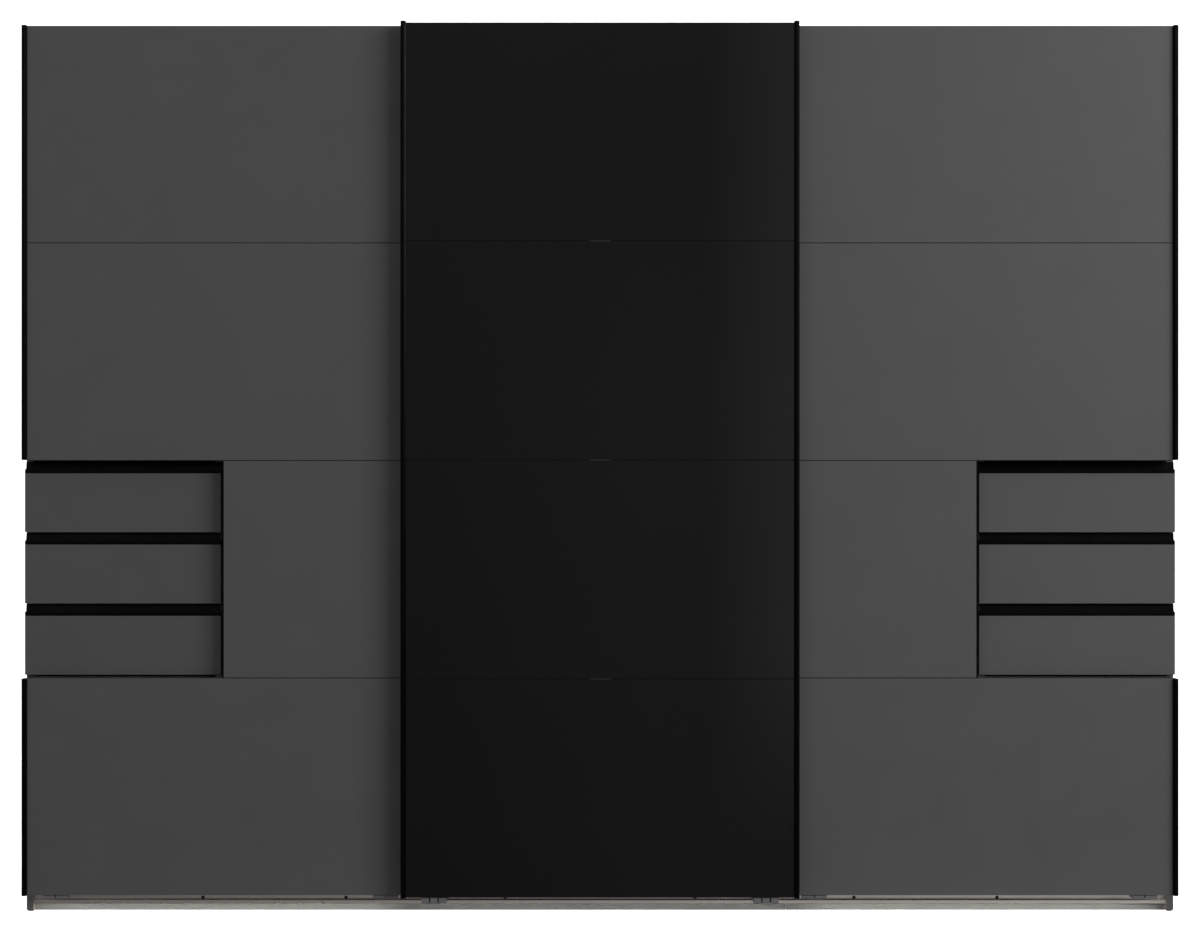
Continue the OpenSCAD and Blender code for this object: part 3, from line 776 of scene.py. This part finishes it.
# %% Channels
def channel(drawer):
    node = drawer + "_grip"
    low, high = extent(node)
    y0, z0 = low[1], low[2]
    depth, tall = high[1] - y0, high[2] - z0
    lip, lip_t, wall = 9.6, 2.5, 2.0
    section = rounded(
        (0, 0, 0.3), (depth, 0, 0.3), (depth, tall, 0.9), (depth - wall, tall, 0.9),
        (depth - wall, wall, 1.8), (lip_t, wall, 1.5), (lip_t, lip, 1.15), (0, lip, 1.15))
    bm = bmesh.new()
    profile(bm, [(y0 + u, z0 + v) for u, v in section], "x", low[0], high[0])
    store(node + "_channel", bm, "black_anodised_aluminium", drawer, "black_profile", node)
    inner = depth - wall
    gusset = rounded(
        (lip_t + FIT, wall + FIT, 0.4), (inner - FIT, wall + FIT, 0.4), (inner - FIT, tall - 1, 0.4),
        (inner - 1.5, tall - 1, 0.4), (depth - 7, lip + 1, 3), (lip_t + FIT, lip - 0.5, 0.4))
    ends = bmesh.new()
    for x in (low[0] + 0.3, high[0] - 1.8):
        profile(ends, [(y0 + u, z0 + v) for u, v in gusset], "x", x, x + 1.5)
    store(node + "_gussets", ends, "black_abs", drawer, "black_plastic")


for drawer in drawers:
    channel(drawer)

# %% [markdown]
# ## Bottom rail
# An aluminium rail is screwed to the front of the floor boards. Its upright flange steers
# the outer doors, and the fin in front of it steers the middle door. Two fine grooves run
# along the flange, as extruders put them there to hide the scratches of use.

# %% Bottom rail
rail_low, rail_high = extent("bottom_rail")
FLANGE = 2.5
FIN = 2
flange_y = rail_high[1] - FLANGE


def bottom_rail():
    y0, y1, z0, z1 = flange_y, rail_high[1], rail_low[2], rail_high[2]
    fin_y, fin_top = rail_low[1], z0 + 11
    grooves = []
    for z in (z0 + 27, z0 + 31):
        grooves += [(y0, z - 0.4, 0), (y0 + 0.5, z - 0.1, 0), (y0 + 0.5, z + 0.1, 0), (y0, z + 0.4, 0)]
    grooves.reverse()
    section = rounded(
        (fin_y, z0 + 2, 0.6), (y0, z0 + 2, 0.5), (y0, z0, 0.4), (y1, z0, 0.4), (y1, z1, 1.2),
        (y0, z1, 1.2),
        *grooves, (y0, z0 + 4.5, 1.0), (fin_y + FIN, z0 + 4.5, 0.8), (fin_y + FIN, fin_top, 0.9),
        (fin_y, fin_top, 0.9))
    bm = bmesh.new()
    profile(bm, section, "x", rail_low[0], rail_high[0])
    sinks = bmesh.new()
    for x in rail_screws:
        turned(sinks, [(0, -0.2), (4.2, -0.2), (4.05, 0.1), (2.1, 2.1), (2.1, 3.5), (0, 3.5)],
               (x, y0, rail_screw_z), "y", 24)
    store("bottom_rail_extrusion", cut(bm, sinks), "clear_anodised_aluminium", "carcass",
          "rail_aluminium", "bottom_rail")


rail_screws = [side * share * width for share in (0.083, 0.222, 0.347) for side in (-1, 1)]
rail_screw_z = rail_low[2] + 15
bottom_rail()

# %% [markdown]
# ## Screws
# Every screw shows only its head, with a cross recess pressed into it. The head is made
# from rings, and the recess is a cross-shaped hole in its top with walls and a floor of its
# own. Countersunk heads lie flush in the rail; pan heads sit on the track and the plates.


# %% Screw heads
def screw(bm, centre, out, radius, rise, taper=None):
    """A head at centre that looks along out. With taper it is flat on top and narrows to
    that radius; without, it is a pan head that stands rise above centre."""
    turn = Vector(out).to_track_quat("Z", "Y").to_matrix().to_4x4()
    frame_at = Matrix.Translation(centre) @ turn
    if taper:
        section = [(radius, 0), (taper, -2.0), (taper, -3.0)]
    else:
        section = [(radius * 0.72, rise), (radius * 0.93, rise * 0.7), (radius, rise * 0.3), (radius, 0.0)]
    top = section[0][1]
    steps = 20
    rings = []
    turns = [math.tau * k / steps for k in range(steps)]
    for r, h in section:
        ring = [Vector((r * math.cos(a), r * math.sin(a), h)) for a in turns]
        rings.append([bm.verts.new(frame_at @ point) for point in ring])
    arm, half_arm = radius * 0.5, radius * 0.11
    corner = [(arm, -half_arm), (arm, half_arm), (half_arm, half_arm)]
    cross = []
    for quarter in range(4):
        a = math.tau * quarter / 4
        c, s = math.cos(a), math.sin(a)
        cross += [(u * c - v * s, u * s + v * c) for u, v in corner]
    sunk = max(rise, 1.6) * 0.6
    upper = [bm.verts.new(frame_at @ Vector((u, v, top))) for u, v in cross]
    lower = [bm.verts.new(frame_at @ Vector((u * 0.7, v * 0.7, top - sunk))) for u, v in cross]
    fill(bm, [rings[0], upper])
    bm.faces.new(lower)
    bm.faces.new(rings[-1])
    for a, b in ((upper, lower), *zip(rings, rings[1:])):
        skirt(bm, a, b)


TRACK_ROOM = 45
WEB = 3
TRACK_SCREW_ROW = 60
TRACK_SCREW_INSET = 120


def fixing_screws():
    bm, dark = bmesh.new(), bmesh.new()
    for x in rail_screws:
        screw(dark, (x, flange_y + 0.05, rail_screw_z), (0, -1, 0), 4, 0, taper=2)
    track_y = extent("running_track")[0][1] + TRACK_SCREW_ROW
    web = top_z - TRACK_ROOM + WEB
    for k in range(-4, 5):
        x = k * (width - 2 * TRACK_SCREW_INSET) / 8
        screw(bm, (x, track_y, web), (0, 0, 1), radius=4.2, rise=2.2)
    bracket_low, bracket_high = extent("wall_brackets")
    bay = bracket_high[0] - 20
    for x in (-bay, bay):
        for dx in (-10, 10):
            screw(bm, (x + dx, wall_y - 27, bracket_low[2] + 2), (0, 0, 1), 3.6, 2)
    store_steel("screw_heads", bm, "carcass", "fixing_screws")
    store("rail_screw_heads", dark, "blackened_steel", "carcass", "zinc_steel")


fixing_screws()

# %% [markdown]
# ## Running track
# The doors hang from a track on top of the wardrobe, behind their upper edges. Two ribs
# with rounded crests carry the grooved rollers. The front lip and the hook over the boards'
# edge stiffen it. All of it is one extrusion here, as it would be in reality.


# %% Track
def running_track():
    low, high = extent("running_track")
    y0, y1, crest = low[1], high[1], high[2]
    base = crest - 10
    web = base + WEB
    rear, front = y0 + 10, y0 + 40
    near_edge = at(CARCASS_FRONT) - FIT
    hook = at(CARCASS_FRONT) - 2.6
    ribs = []
    for y in (front, rear):
        ribs += [(y + 1.5, web, 1.0), (y + 1.5, crest, 1.4), (y - 1.5, crest, 1.4), (y - 1.5, web, 1.0)]
    section = rounded(
        (y0, base - 5, 0.6), (y0 + 2, base - 5, 0.6), (y0 + 2, base, 1.0), (hook, base, 0.8),
        (hook, low[2], 0.6), (near_edge, low[2], 0.3), (near_edge, base, 0.3), (y1, base, 0.4),
        (y1, web, 0.9),
        *ribs, (y0, web, 0.9))
    bm = bmesh.new()
    profile(bm, section, "x", low[0], high[0])
    store("running_track_extrusion", bm, "clear_anodised_aluminium", "carcass",
          "rail_aluminium", "running_track")


running_track()

# %% [markdown]
# ## Hangers
# Stamped steel plates are screwed to the backs of the doors. Their corners are rounded, two
# upright slots let a fitter set the height, and the axle is riveted on. The middle door's
# hangers are bent over the outer doors in one strip, with the radius of a press brake.

# %% Hangers
PLATE = 2.5
HALF_PLATE = 30
PLATE_SCREWS = [(dx, dz) for dx in (-20, 20) for dz in (-62, -38)]
SLOT_SPACING = 18
SLOT_ENDS = (-58, -42)
SLOT_HALF = 2.6
AXLE_RADIUS = 3
ROLLER_WIDTH = 12
hanger_low, hanger_high = extent("left_door_hangers")
hanger_xs = {s: [] for s in ("left", "right", "middle")}
for s in sides:
    for part in ("outer", "inner"):
        hanger_xs[s].append(middle_of(f"{s}_door_{part}_roller")[0])
for s in sides:
    x, _, axle_z = middle_of(f"middle_door_{s}_roller")
    hanger_xs["middle"].append(x)


def slots(x, y):
    """The two setting slots in a plate, as a cutter."""
    tool = bmesh.new()
    low, high = (axle_z + end for end in SLOT_ENDS)
    for dx in (-SLOT_SPACING / 2, SLOT_SPACING / 2):
        slot = bar(x + dx - SLOT_HALF, low, x + dx + SLOT_HALF, high, 2.5)
        profile(tool, slot, "y", y - 1, y + PLATE + 1)
    return tool


def axle(bm, x, y, roller_y):
    """Collar, pin and riveted head of an axle, from the plate at y through the roller."""
    end = roller_y + ROLLER_WIDTH / 2 + 1
    near = roller_y - ROLLER_WIDTH / 2 - 1
    section = [(0, y), (5, y), (5, near - 0.4), (4.6, near), (AXLE_RADIUS, near), (AXLE_RADIUS, end),
               (5.5, end), (5.5, end + 1.2), (4.4, end + 2.2), (2, end + 2.5), (0, end + 2.5)]
    turned(bm, section, (x, 0, axle_z), "y", 28)


def hanger(bm, heads, plate, x, y, face, roller_y):
    """Slots a plate, and adds its screws and the axle, which starts at face."""
    joined(bm, cut(plate, slots(x, y)))
    for dx, dz in PLATE_SCREWS:
        screw(heads, (x + dx, y + PLATE, axle_z + dz), (0, 1, 0), radius=4, rise=1.5)
    axle(heads, x, face, roller_y)


def outer_hangers(side):
    bm, heads = bmesh.new(), bmesh.new()
    low, high = extent(side + "_door_hangers")
    y = low[1]
    for x in hanger_xs[side]:
        plate = bmesh.new()
        outline = rounded(
            (x - HALF_PLATE, low[2], 6), (x + HALF_PLATE, low[2], 6), (x + HALF_PLATE, axle_z - 12, 14),
            (x + 11, high[2], 9), (x - 11, high[2], 9), (x - HALF_PLATE, axle_z - 12, 14))
        profile(plate, outline, "y", y, y + PLATE)
        hanger(bm, heads, plate, x, y, y + PLATE, y + 16)
    door = side + "_door"
    store_steel(door + "_hanger_plates", bm, door, door + "_hangers")
    store_steel(door + "_hanger_fittings", heads, door)


def middle_hangers():
    bm, heads = bmesh.new(), bmesh.new()
    low, high = extent("middle_door_hangers")
    roller_y = middle_of("middle_door_left_roller")[1]
    y, leg = low[1], roller_y - 12
    top, under = high[2], high[2] - 2
    strip = rounded(
        (y, low[2], 0.4), (y + PLATE, low[2], 0.4), (y + PLATE, under, 1.0), (leg, under, 1.0),
        (leg, axle_z - 12, 0.4), (leg + PLATE, axle_z - 12, 0.4), (leg + PLATE, top, 2.4),
        (y, top, 2.4), steps=5)
    for x in hanger_xs["middle"]:
        sheet = bmesh.new()
        profile(sheet, strip, "x", x - HALF_PLATE, x + HALF_PLATE)
        hanger(bm, heads, sheet, x, y, leg + PLATE, roller_y)
    store_steel("middle_door_hanger_strips", bm, "middle_door", "middle_door_hangers")
    store_steel("middle_door_hanger_fittings", heads, "middle_door")


for side in sides:
    outer_hangers(side)
middle_hangers()

# %% [markdown]
# ## Rollers
# A grooved wheel of cream acetal runs on a small ball bearing. Wheel and bearing are both
# turned from a half section. Six shallow pockets in each flank, which moulders leave so
# that the wall cools evenly, show when the wheel turns.


# %% Rollers
POCKETS = 6
POCKET_CIRCLE = 9.9


def roller(node, body):
    low, high = extent(node)
    centre = middle_of(node)
    radius, half = (high[2] - low[2]) / 2, (high[1] - low[1]) / 2
    root = radius - 3
    section = [
        (8, -half + 1), (8.6, -half), (radius - 0.6, -half), (radius, -half + 0.6), (radius, -half + 1.8),
        (radius - 0.4, -half + 2.3), (root, -1.8), (root, 1.8), (radius - 0.4, half - 2.3),
        (radius, half - 1.8), (radius, half - 0.6), (radius - 0.6, half), (8.6, half), (8, half - 1)]
    wheel, pockets = bmesh.new(), bmesh.new()
    turned(wheel, section, centre, "y", 48)
    for k in range(POCKETS):
        a = math.tau * k / POCKETS
        x = centre[0] + POCKET_CIRCLE * math.cos(a)
        z = centre[2] + POCKET_CIRCLE * math.sin(a)
        for y in (-half - 1, half - 0.8):
            turned(pockets, [(0, y), (1.0, y), (1.0, y + 1.8), (0, y + 1.8)], (x, centre[1], z), "y", 12)
    store(node + "_wheel", cut(wheel, pockets), "cream_acetal", body, "roller_plastic", node)
    race = [(3.05, -2.5), (4.4, -2.5), (4.5, -2.1), (6.5, -2.1), (6.6, -2.5), (7.95, -2.5),
            (7.95, 2.5), (6.6, 2.5), (6.5, 2.1), (4.5, 2.1), (4.4, 2.5), (3.05, 2.5)]
    bearing = bmesh.new()
    turned(bearing, race, centre, "y", 36)
    store_steel(node + "_bearing", bearing, body)


for s in sides:
    for part in ("outer", "inner"):
        roller(f"{s}_door_{part}_roller", f"{s}_{part}_roller")
    roller(f"middle_door_{s}_roller", f"middle_{s}_roller")

# %% [markdown]
# ## Guides
# Grey nylon guides under the doors keep them on the bottom rail. An outer door's guide
# reaches back from the door and hooks over the flange. The middle door's guide is a foot
# with a flat steel arm that passes under the outer doors to a nylon tongue between fin and
# flange. Slits in the feet let them spring a little, and two screws hold each wall.

# %% Guides
HALF_GUIDE = 29
HALF_SLIT = 1.5
SLIDE_GAP = 0.8


def slit_cutter(x, shifts, y0, y1, z0, z1):
    tool = bmesh.new()
    for dx in shifts:
        profile(tool, bar(x + dx - HALF_SLIT, y0, x + dx + HALF_SLIT, y1, 1.2), "z", z0, z1)
    return tool


def guide_screws(bm, x, y, top):
    for dx in (-18, 18):
        screw(bm, (x + dx, y, top - 14), (0, 1, 0), radius=3.6, rise=1.6)


def outer_guides(side):
    low, high = extent(side + "_door_guides")
    y0, z0, y1, z1 = low[1], low[2], high[1], high[2]
    wall = at(OUTER_BACK + FIT)
    leg, top = flange_y - SLIDE_GAP, rail_high[2] + 5
    section = rounded(
        (y0, z0, 1.4), (leg, z0, 0.8), (leg, top - 3.7, 0.6), (y1 - 4, top - 3.7, 0.6),
        (y1 - 4, top - 15, 0.5), (y1, top - 15, 1.3), (y1, top, 1.6), (leg - 4, top, 1.6),
        (leg - 4, z0 + 7.5, 2.0), (wall + 3.9, z0 + 7.5, 2.0), (wall + 3.9, z1, 1.4), (wall, z1, 0.6),
        (wall, z0 + 7.5, 0.4), (y0, z0 + 7.5, 1.4))
    bm, heads = bmesh.new(), bmesh.new()
    for x in hanger_xs[side]:
        body = bmesh.new()
        profile(body, section, "x", x - HALF_GUIDE, x + HALF_GUIDE)
        joined(bm, cut(body, slit_cutter(x, (0,), y0 - 5, at(OUTER_BACK - 2), z0 - 2, z0 + 9)))
        guide_screws(heads, x, wall + 3.9, z1)
    door = side + "_door"
    store(door + "_guide_blocks", bm, "grey_nylon", door, "guide_plastic", door + "_guides", edge_mm=0.4)
    store_steel(door + "_guide_screws", heads, door)


def middle_guides():
    low, high = extent("middle_door_guides")
    y0, z1 = low[1], high[2]
    foot_z, wall = rail_low[2] + 15, at(MIDDLE_BACK + FIT)
    heel, end = at(MIDDLE_BACK + 4), flange_y - SLIDE_GAP
    foot = rounded((y0, foot_z, 1.6), (heel, foot_z, 0.6), (heel, z1, 1.4), (wall, z1, 0.6),
                   (wall, foot_z + 14.5, 0.4), (y0, foot_z + 14.5, 1.6))
    bm, arms, heads = bmesh.new(), bmesh.new(), bmesh.new()
    for x in hanger_xs["middle"]:
        body = bmesh.new()
        profile(body, foot, "x", x - HALF_GUIDE, x + HALF_GUIDE)
        joined(bm, cut(body, slit_cutter(x, (-10, 10), y0 - 5, at(MIDDLE_BACK - 4), foot_z - 2, foot_z + 16)))
        profile(bm, bar(x - HALF_GUIDE, end - 7.4, x + HALF_GUIDE, end, 2.2), "z", low[2], foot_z - 0.1)
        profile(arms, bar(x - HALF_GUIDE, heel + FIT, x + HALF_GUIDE, end, 1.8), "z", foot_z, foot_z + 4.5)
        guide_screws(heads, x, heel, z1)
    store("middle_door_guide_feet", bm, "grey_nylon", "middle_door", "guide_plastic",
          "middle_door_guides", edge_mm=0.4)
    store_steel("middle_door_guide_arms", arms, "middle_door", edge_mm=0.3)
    store_steel("middle_door_guide_screws", heads, "middle_door")


for side in sides:
    outer_guides(side)
middle_guides()

# %% [markdown]
# ## Hanging rails
# A chromed tube sits in a flanged socket at each wall. The socket is die-cast with a soft
# rim, and two screws hold its flange.


# %% Hanging rails
def hanging_rails():
    low, high = extent("hanging_rails")
    _, centre_y, centre_z = middle_of("hanging_rails")
    rim = (high[2] - low[2]) / 2
    tube, collar = rim / 2, rim / 2 + 3
    middle = (width - 4 * BOARD) / 3 / 2
    spans = [(-middle, middle)]
    for side in (-1, 1):
        spans.append(tuple(sorted((side * (half_width - UNIT), side * (middle + BOARD)))))
    bm, heads = bmesh.new(), bmesh.new()
    for x0, x1 in spans:
        for wall, inward in ((x0, 1), (x1, -1)):
            section = [
                (tube + FIT, 3.2), (0, 3.2), (0, 0), (rim, 0), (rim, 2.0), (rim - 1, 3.0),
                (collar + 2, 3.0), (collar, 5.0), (collar, 11.2), (collar - 0.8, 12), (tube + FIT, 12)]
            turned(bm, [(r, inward * h) for r, h in section], (wall, centre_y, centre_z), "x", 40)
            for dz in (-20, 20):
                screw(heads, (wall + inward * 3.0, centre_y, centre_z + dz), (inward, 0, 0), 3, 1.2)
        ends = (x0 + 3.4, x1 - 3.4)
        turned(bm, [(tube, ends[0]), (tube, ends[1]), (tube - 1.5, ends[1]), (tube - 1.5, ends[0])],
               (0, centre_y, centre_z), "x", 40)
    store("hanging_rail_tubes", bm, "chromed_steel", "carcass", "chrome_tube", "hanging_rails")
    store_steel("hanging_rail_screws", heads, "carcass")


hanging_rails()

# %% [markdown]
# ## Drawer runners
# Each drawer slides on two channels of white polypropylene that reach into grooves in its
# sides. A C-section with turned-in lips is pushed along the depth, and screws with flat
# heads hold it to the wall.


# %% Drawer runners
def drawer_runners():
    low, high = extent("drawer_runners")
    box_low, _ = extent("left_low_drawer_box")
    tall, deep = 16, 8.3
    front, rear = low[1], high[1]
    pitch = (extent("left_top_drawer_box")[0][2] - box_low[2]) / 2
    bm, heads = bmesh.new(), bmesh.new()
    for k in range(3):
        z = low[2] + k * pitch
        for side in (-1, 1):
            walls = ((side * (half_width - BOARD), -side), (side * (half_width - UNIT + BOARD), side))
            for wall, inward in walls:
                section = rounded(
                    (0, 0, 0.4), (deep, 0, 0.8), (deep, 4.2, 0.4), (deep - 1.2, 4.2, 0.4),
                    (deep - 1.2, 1.2, 0.5),
                    (1.2, 1.2, 0.5), (1.2, tall - 1.2, 0.5), (deep - 1.2, tall - 1.2, 0.5),
                    (deep - 1.2, tall - 4.2, 0.4), (deep, tall - 4.2, 0.4), (deep, tall, 0.8), (0, tall, 0.4))
                profile(bm, [(wall + inward * u, z + v) for u, v in section], "y", front, rear)
                for y in (front + 37, front + 224, rear - 37):
                    screw(heads, (wall + inward * 1.2, y, z + tall / 2), (inward, 0, 0), 3.2, 1.0)
    store("drawer_runner_channels", bm, "white_polypropylene", "carcass", "runner_plastic", "drawer_runners")
    store_steel("drawer_runner_screws", heads, "carcass")


drawer_runners()

# %% [markdown]
# ## Studio
# The floor runs up into the backdrop in one sweep, so there is no horizon. The paper glows
# faintly, like a lit cyclorama, so it stays white while the doors stay dark. It is left out
# of reflections and bounced light, as if the room in front of the doors were dark: the
# glass stays black and the feet of the doors don't turn brighter than their tops. Its back
# is clear, so that the wardrobe can be seen from the wall side too.


# %% Sweep
def sweep(half_span=9.0, near=-9.0, far=2.2, radius=1.5, height=5.5, steps=16):
    line = [(near, 0.0)]
    for i in range(steps + 1):
        a = math.pi / 2 * i / steps
        line.append((far - radius + radius * math.sin(a), radius - radius * math.cos(a)))
    line.append((far, height))
    bm = bmesh.new()
    rows = [[bm.verts.new((x, y, z)) for x in (-half_span, half_span)] for y, z in line]
    for a, b in zip(rows, rows[1:]):
        bm.faces.new((a[0], a[1], b[1], b[0])).smooth = True
    backdrop = in_scene("sweep", bm)
    tree, shader, place = start("paper_sweep", IOR=1.5, Roughness=0.9, Emission_Strength=1.1)
    felt = pattern(tree, place, 2.0, Detail=3.0)
    tone = mixed(tree, felt.outputs["Fac"], colour("#f4f3f1"), colour("#f8f7f5"))
    tree.links.new(tone, shader.inputs["Base Color"])
    tree.links.new(tone, shader.inputs["Emission Color"])
    behind = add(tree, "ShaderNodeNewGeometry").outputs["Backfacing"]
    clear = add(tree, "ShaderNodeBsdfTransparent").outputs["BSDF"]
    both = add(tree, "ShaderNodeMixShader", {"Fac": behind})
    tree.links.new(shader.outputs["BSDF"], both.inputs[1])
    tree.links.new(clear, both.inputs[2])
    tree.links.new(both.outputs["Shader"], tree.nodes["Material Output"].inputs["Surface"])
    backdrop.data.materials.append(finishes["paper_sweep"])
    backdrop.visible_glossy = False
    backdrop.visible_diffuse = False


sweep()

# %% [markdown]
# A very large soft light stands far away on the right and lights the doors at a slant. The
# middle door, which stands proud, throws a soft shadow on its left neighbour. A smaller
# light close to the upper right corner makes that corner the brightest. Thin strips lie
# under the doors' front edges and stand in for the light that a white floor throws up to
# the rail and the plinth. A weak light from the left fills the shadows, and one from above
# the back shows the rear panels.


# %% Lights
def lamp(name, spot, target, size, power):
    data = bpy.data.lights.new(name, "AREA")
    data.shape = "RECTANGLE"
    data.size, data.size_y = size
    data.energy = power
    light = bpy.data.objects.new(name, data)
    light.location = spot
    light.rotation_euler = (Vector(target) - Vector(spot)).to_track_quat("-Z", "Y").to_euler()
    light.visible_camera = False
    bpy.context.collection.objects.link(light)
    print(name, power, "W at", spot)
    return light


lamp("key_light", (8.6, -7.6, 4.2), (0.4, 0.0, 1.2), (7.5, 4.5), 790)
lamp("corner_light", (3.2, -2.2, 2.9), (0.9, -0.3, 1.3), (1.2, 1.2), 17)
lamp("fill_light", (-5.0, -9.0, 4.0), (0.0, 0.0, 1.2), (6.0, 4.0), 75)
back_light = lamp("back_light", (0.0, 2.1, 2.4), (0.0, 0.3, 1.0), (3.0, 1.5), 60)
back_light.visible_glossy = False
strips = (("left", -0.9, 0.84, 0.28), ("middle", 0.0, 0.84, 0.16), ("right", 0.88, 0.80, 0.28))
for name, x, length, power in strips:
    strip = lamp("floor_strip_" + name, (x, -0.262, 0.006), (x, -0.2, 0.020), (length, 0.008), power)
    strip.visible_glossy = False

# %% [markdown]
# Two upright cards show in reflections only, and add their light to what is behind them.
# One gives the glass its pale band, which grows towards the right and fades near the
# floor. The other lights the metal of the bottom rail, more on the right than on the left.
# Both reach below the floor, which reflections don't see.


# %% Graded cards
def graded_card(name, y, across, upright, strength):
    """A card from across[0] to across[1] and upright[0] to upright[1], in metres."""
    bm = bmesh.new()
    corners = [(across[i], y, upright[k]) for i, k in ((0, 0), (1, 0), (1, 1), (0, 1))]
    bm.faces.new([bm.verts.new(corner) for corner in corners])
    card = in_scene(name, bm)
    tree, _, place = start(name + "_paper", IOR=1.5, Roughness=0.9)
    parts = add(tree, "ShaderNodeSeparateXYZ", {"Vector": place}).outputs
    glow = add(tree, "ShaderNodeEmission", {"Strength": strength(tree, parts["X"], parts["Z"])})
    clear = add(tree, "ShaderNodeBsdfTransparent")
    both = add(tree, "ShaderNodeAddShader", {0: glow.outputs["Emission"], 1: clear.outputs["BSDF"]})
    tree.links.new(both.outputs["Shader"], tree.nodes["Material Output"].inputs["Surface"])
    finishes[name + "_paper"].cycles.emission_sampling = "NONE"
    card.data.materials.append(finishes[name + "_paper"])
    card.visible_camera = False
    card.visible_diffuse = False
    card.visible_shadow = False


def glass_strength(tree, x, z):
    band = between(tree, x, 0.0, 0.16, 0.38, 0.67)
    fade = between(tree, z, 0.0, 1.0, -0.28, 0.43)
    wash = between(tree, x, 0.0, 0.04, -0.6, 0.15)
    lower = between(tree, z, 1.0, 0.0, 1.3, 2.1)
    band = sums(tree, "MULTIPLY", band, fade)
    wash = sums(tree, "MULTIPLY", wash, lower)
    return sums(tree, "ADD", band, wash)


def rail_strength(tree, x, z):
    return between(tree, x, 0.05, 0.50, -1.3, 1.3)


graded_card("glass_card", -3.6, (-0.9, 0.9), (-0.6, 3.0), glass_strength)
graded_card("rail_card", -0.375, (-1.36, 1.36), (-0.12, 0.024), rail_strength)

# %% [markdown]
# The world gets darker towards the floor, and it has a dark wall straight in front, which
# is what the glass door shows.


# %% World
def studio_world(low=0.19, high=0.35, low_wall=0.12, high_wall=0.20):
    """Brighter above the horizon than below, with a dark wall straight in front."""
    world = bpy.data.worlds.new("studio")
    bpy.context.scene.world = world
    world.use_nodes = True
    tree = world.node_tree
    direction = add(tree, "ShaderNodeTexCoord").outputs["Generated"]
    parts = add(tree, "ShaderNodeSeparateXYZ", {"Vector": direction}).outputs
    room = between(tree, parts["Z"], low, high, -0.15, 0.17)
    wall = between(tree, parts["Z"], low_wall, high_wall, -0.15, 0.17)
    away = between(tree, parts["Y"], 0.0, 1.0, -0.98, -0.93)
    strength = add(tree, "ShaderNodeMix", {"Factor": away, "A": wall, "B": room}).outputs["Result"]
    tree.nodes["Background"].inputs["Color"].default_value = colour("#f4f4f4")
    tree.links.new(strength, tree.nodes["Background"].inputs["Strength"])


studio_world()

# %% [markdown]
# ## Camera
# The camera stands square to the front, about as high as the doors' middle, and far enough
# back for a long lens. A small shift centres the wardrobe and keeps its uprights parallel.

# %% Camera
camera_data = bpy.data.cameras.new("camera")
camera_data.lens = 83.5
camera_data.shift_y = 0.0154
camera = bpy.data.objects.new("camera", camera_data)
camera.location = (0.0, -6.777, 1.004)
camera.rotation_euler = (math.radians(90), 0.0, 0.0)
bpy.context.collection.objects.link(camera)
bpy.context.scene.camera = camera
bpy.context.scene.view_settings.view_transform = "Standard"
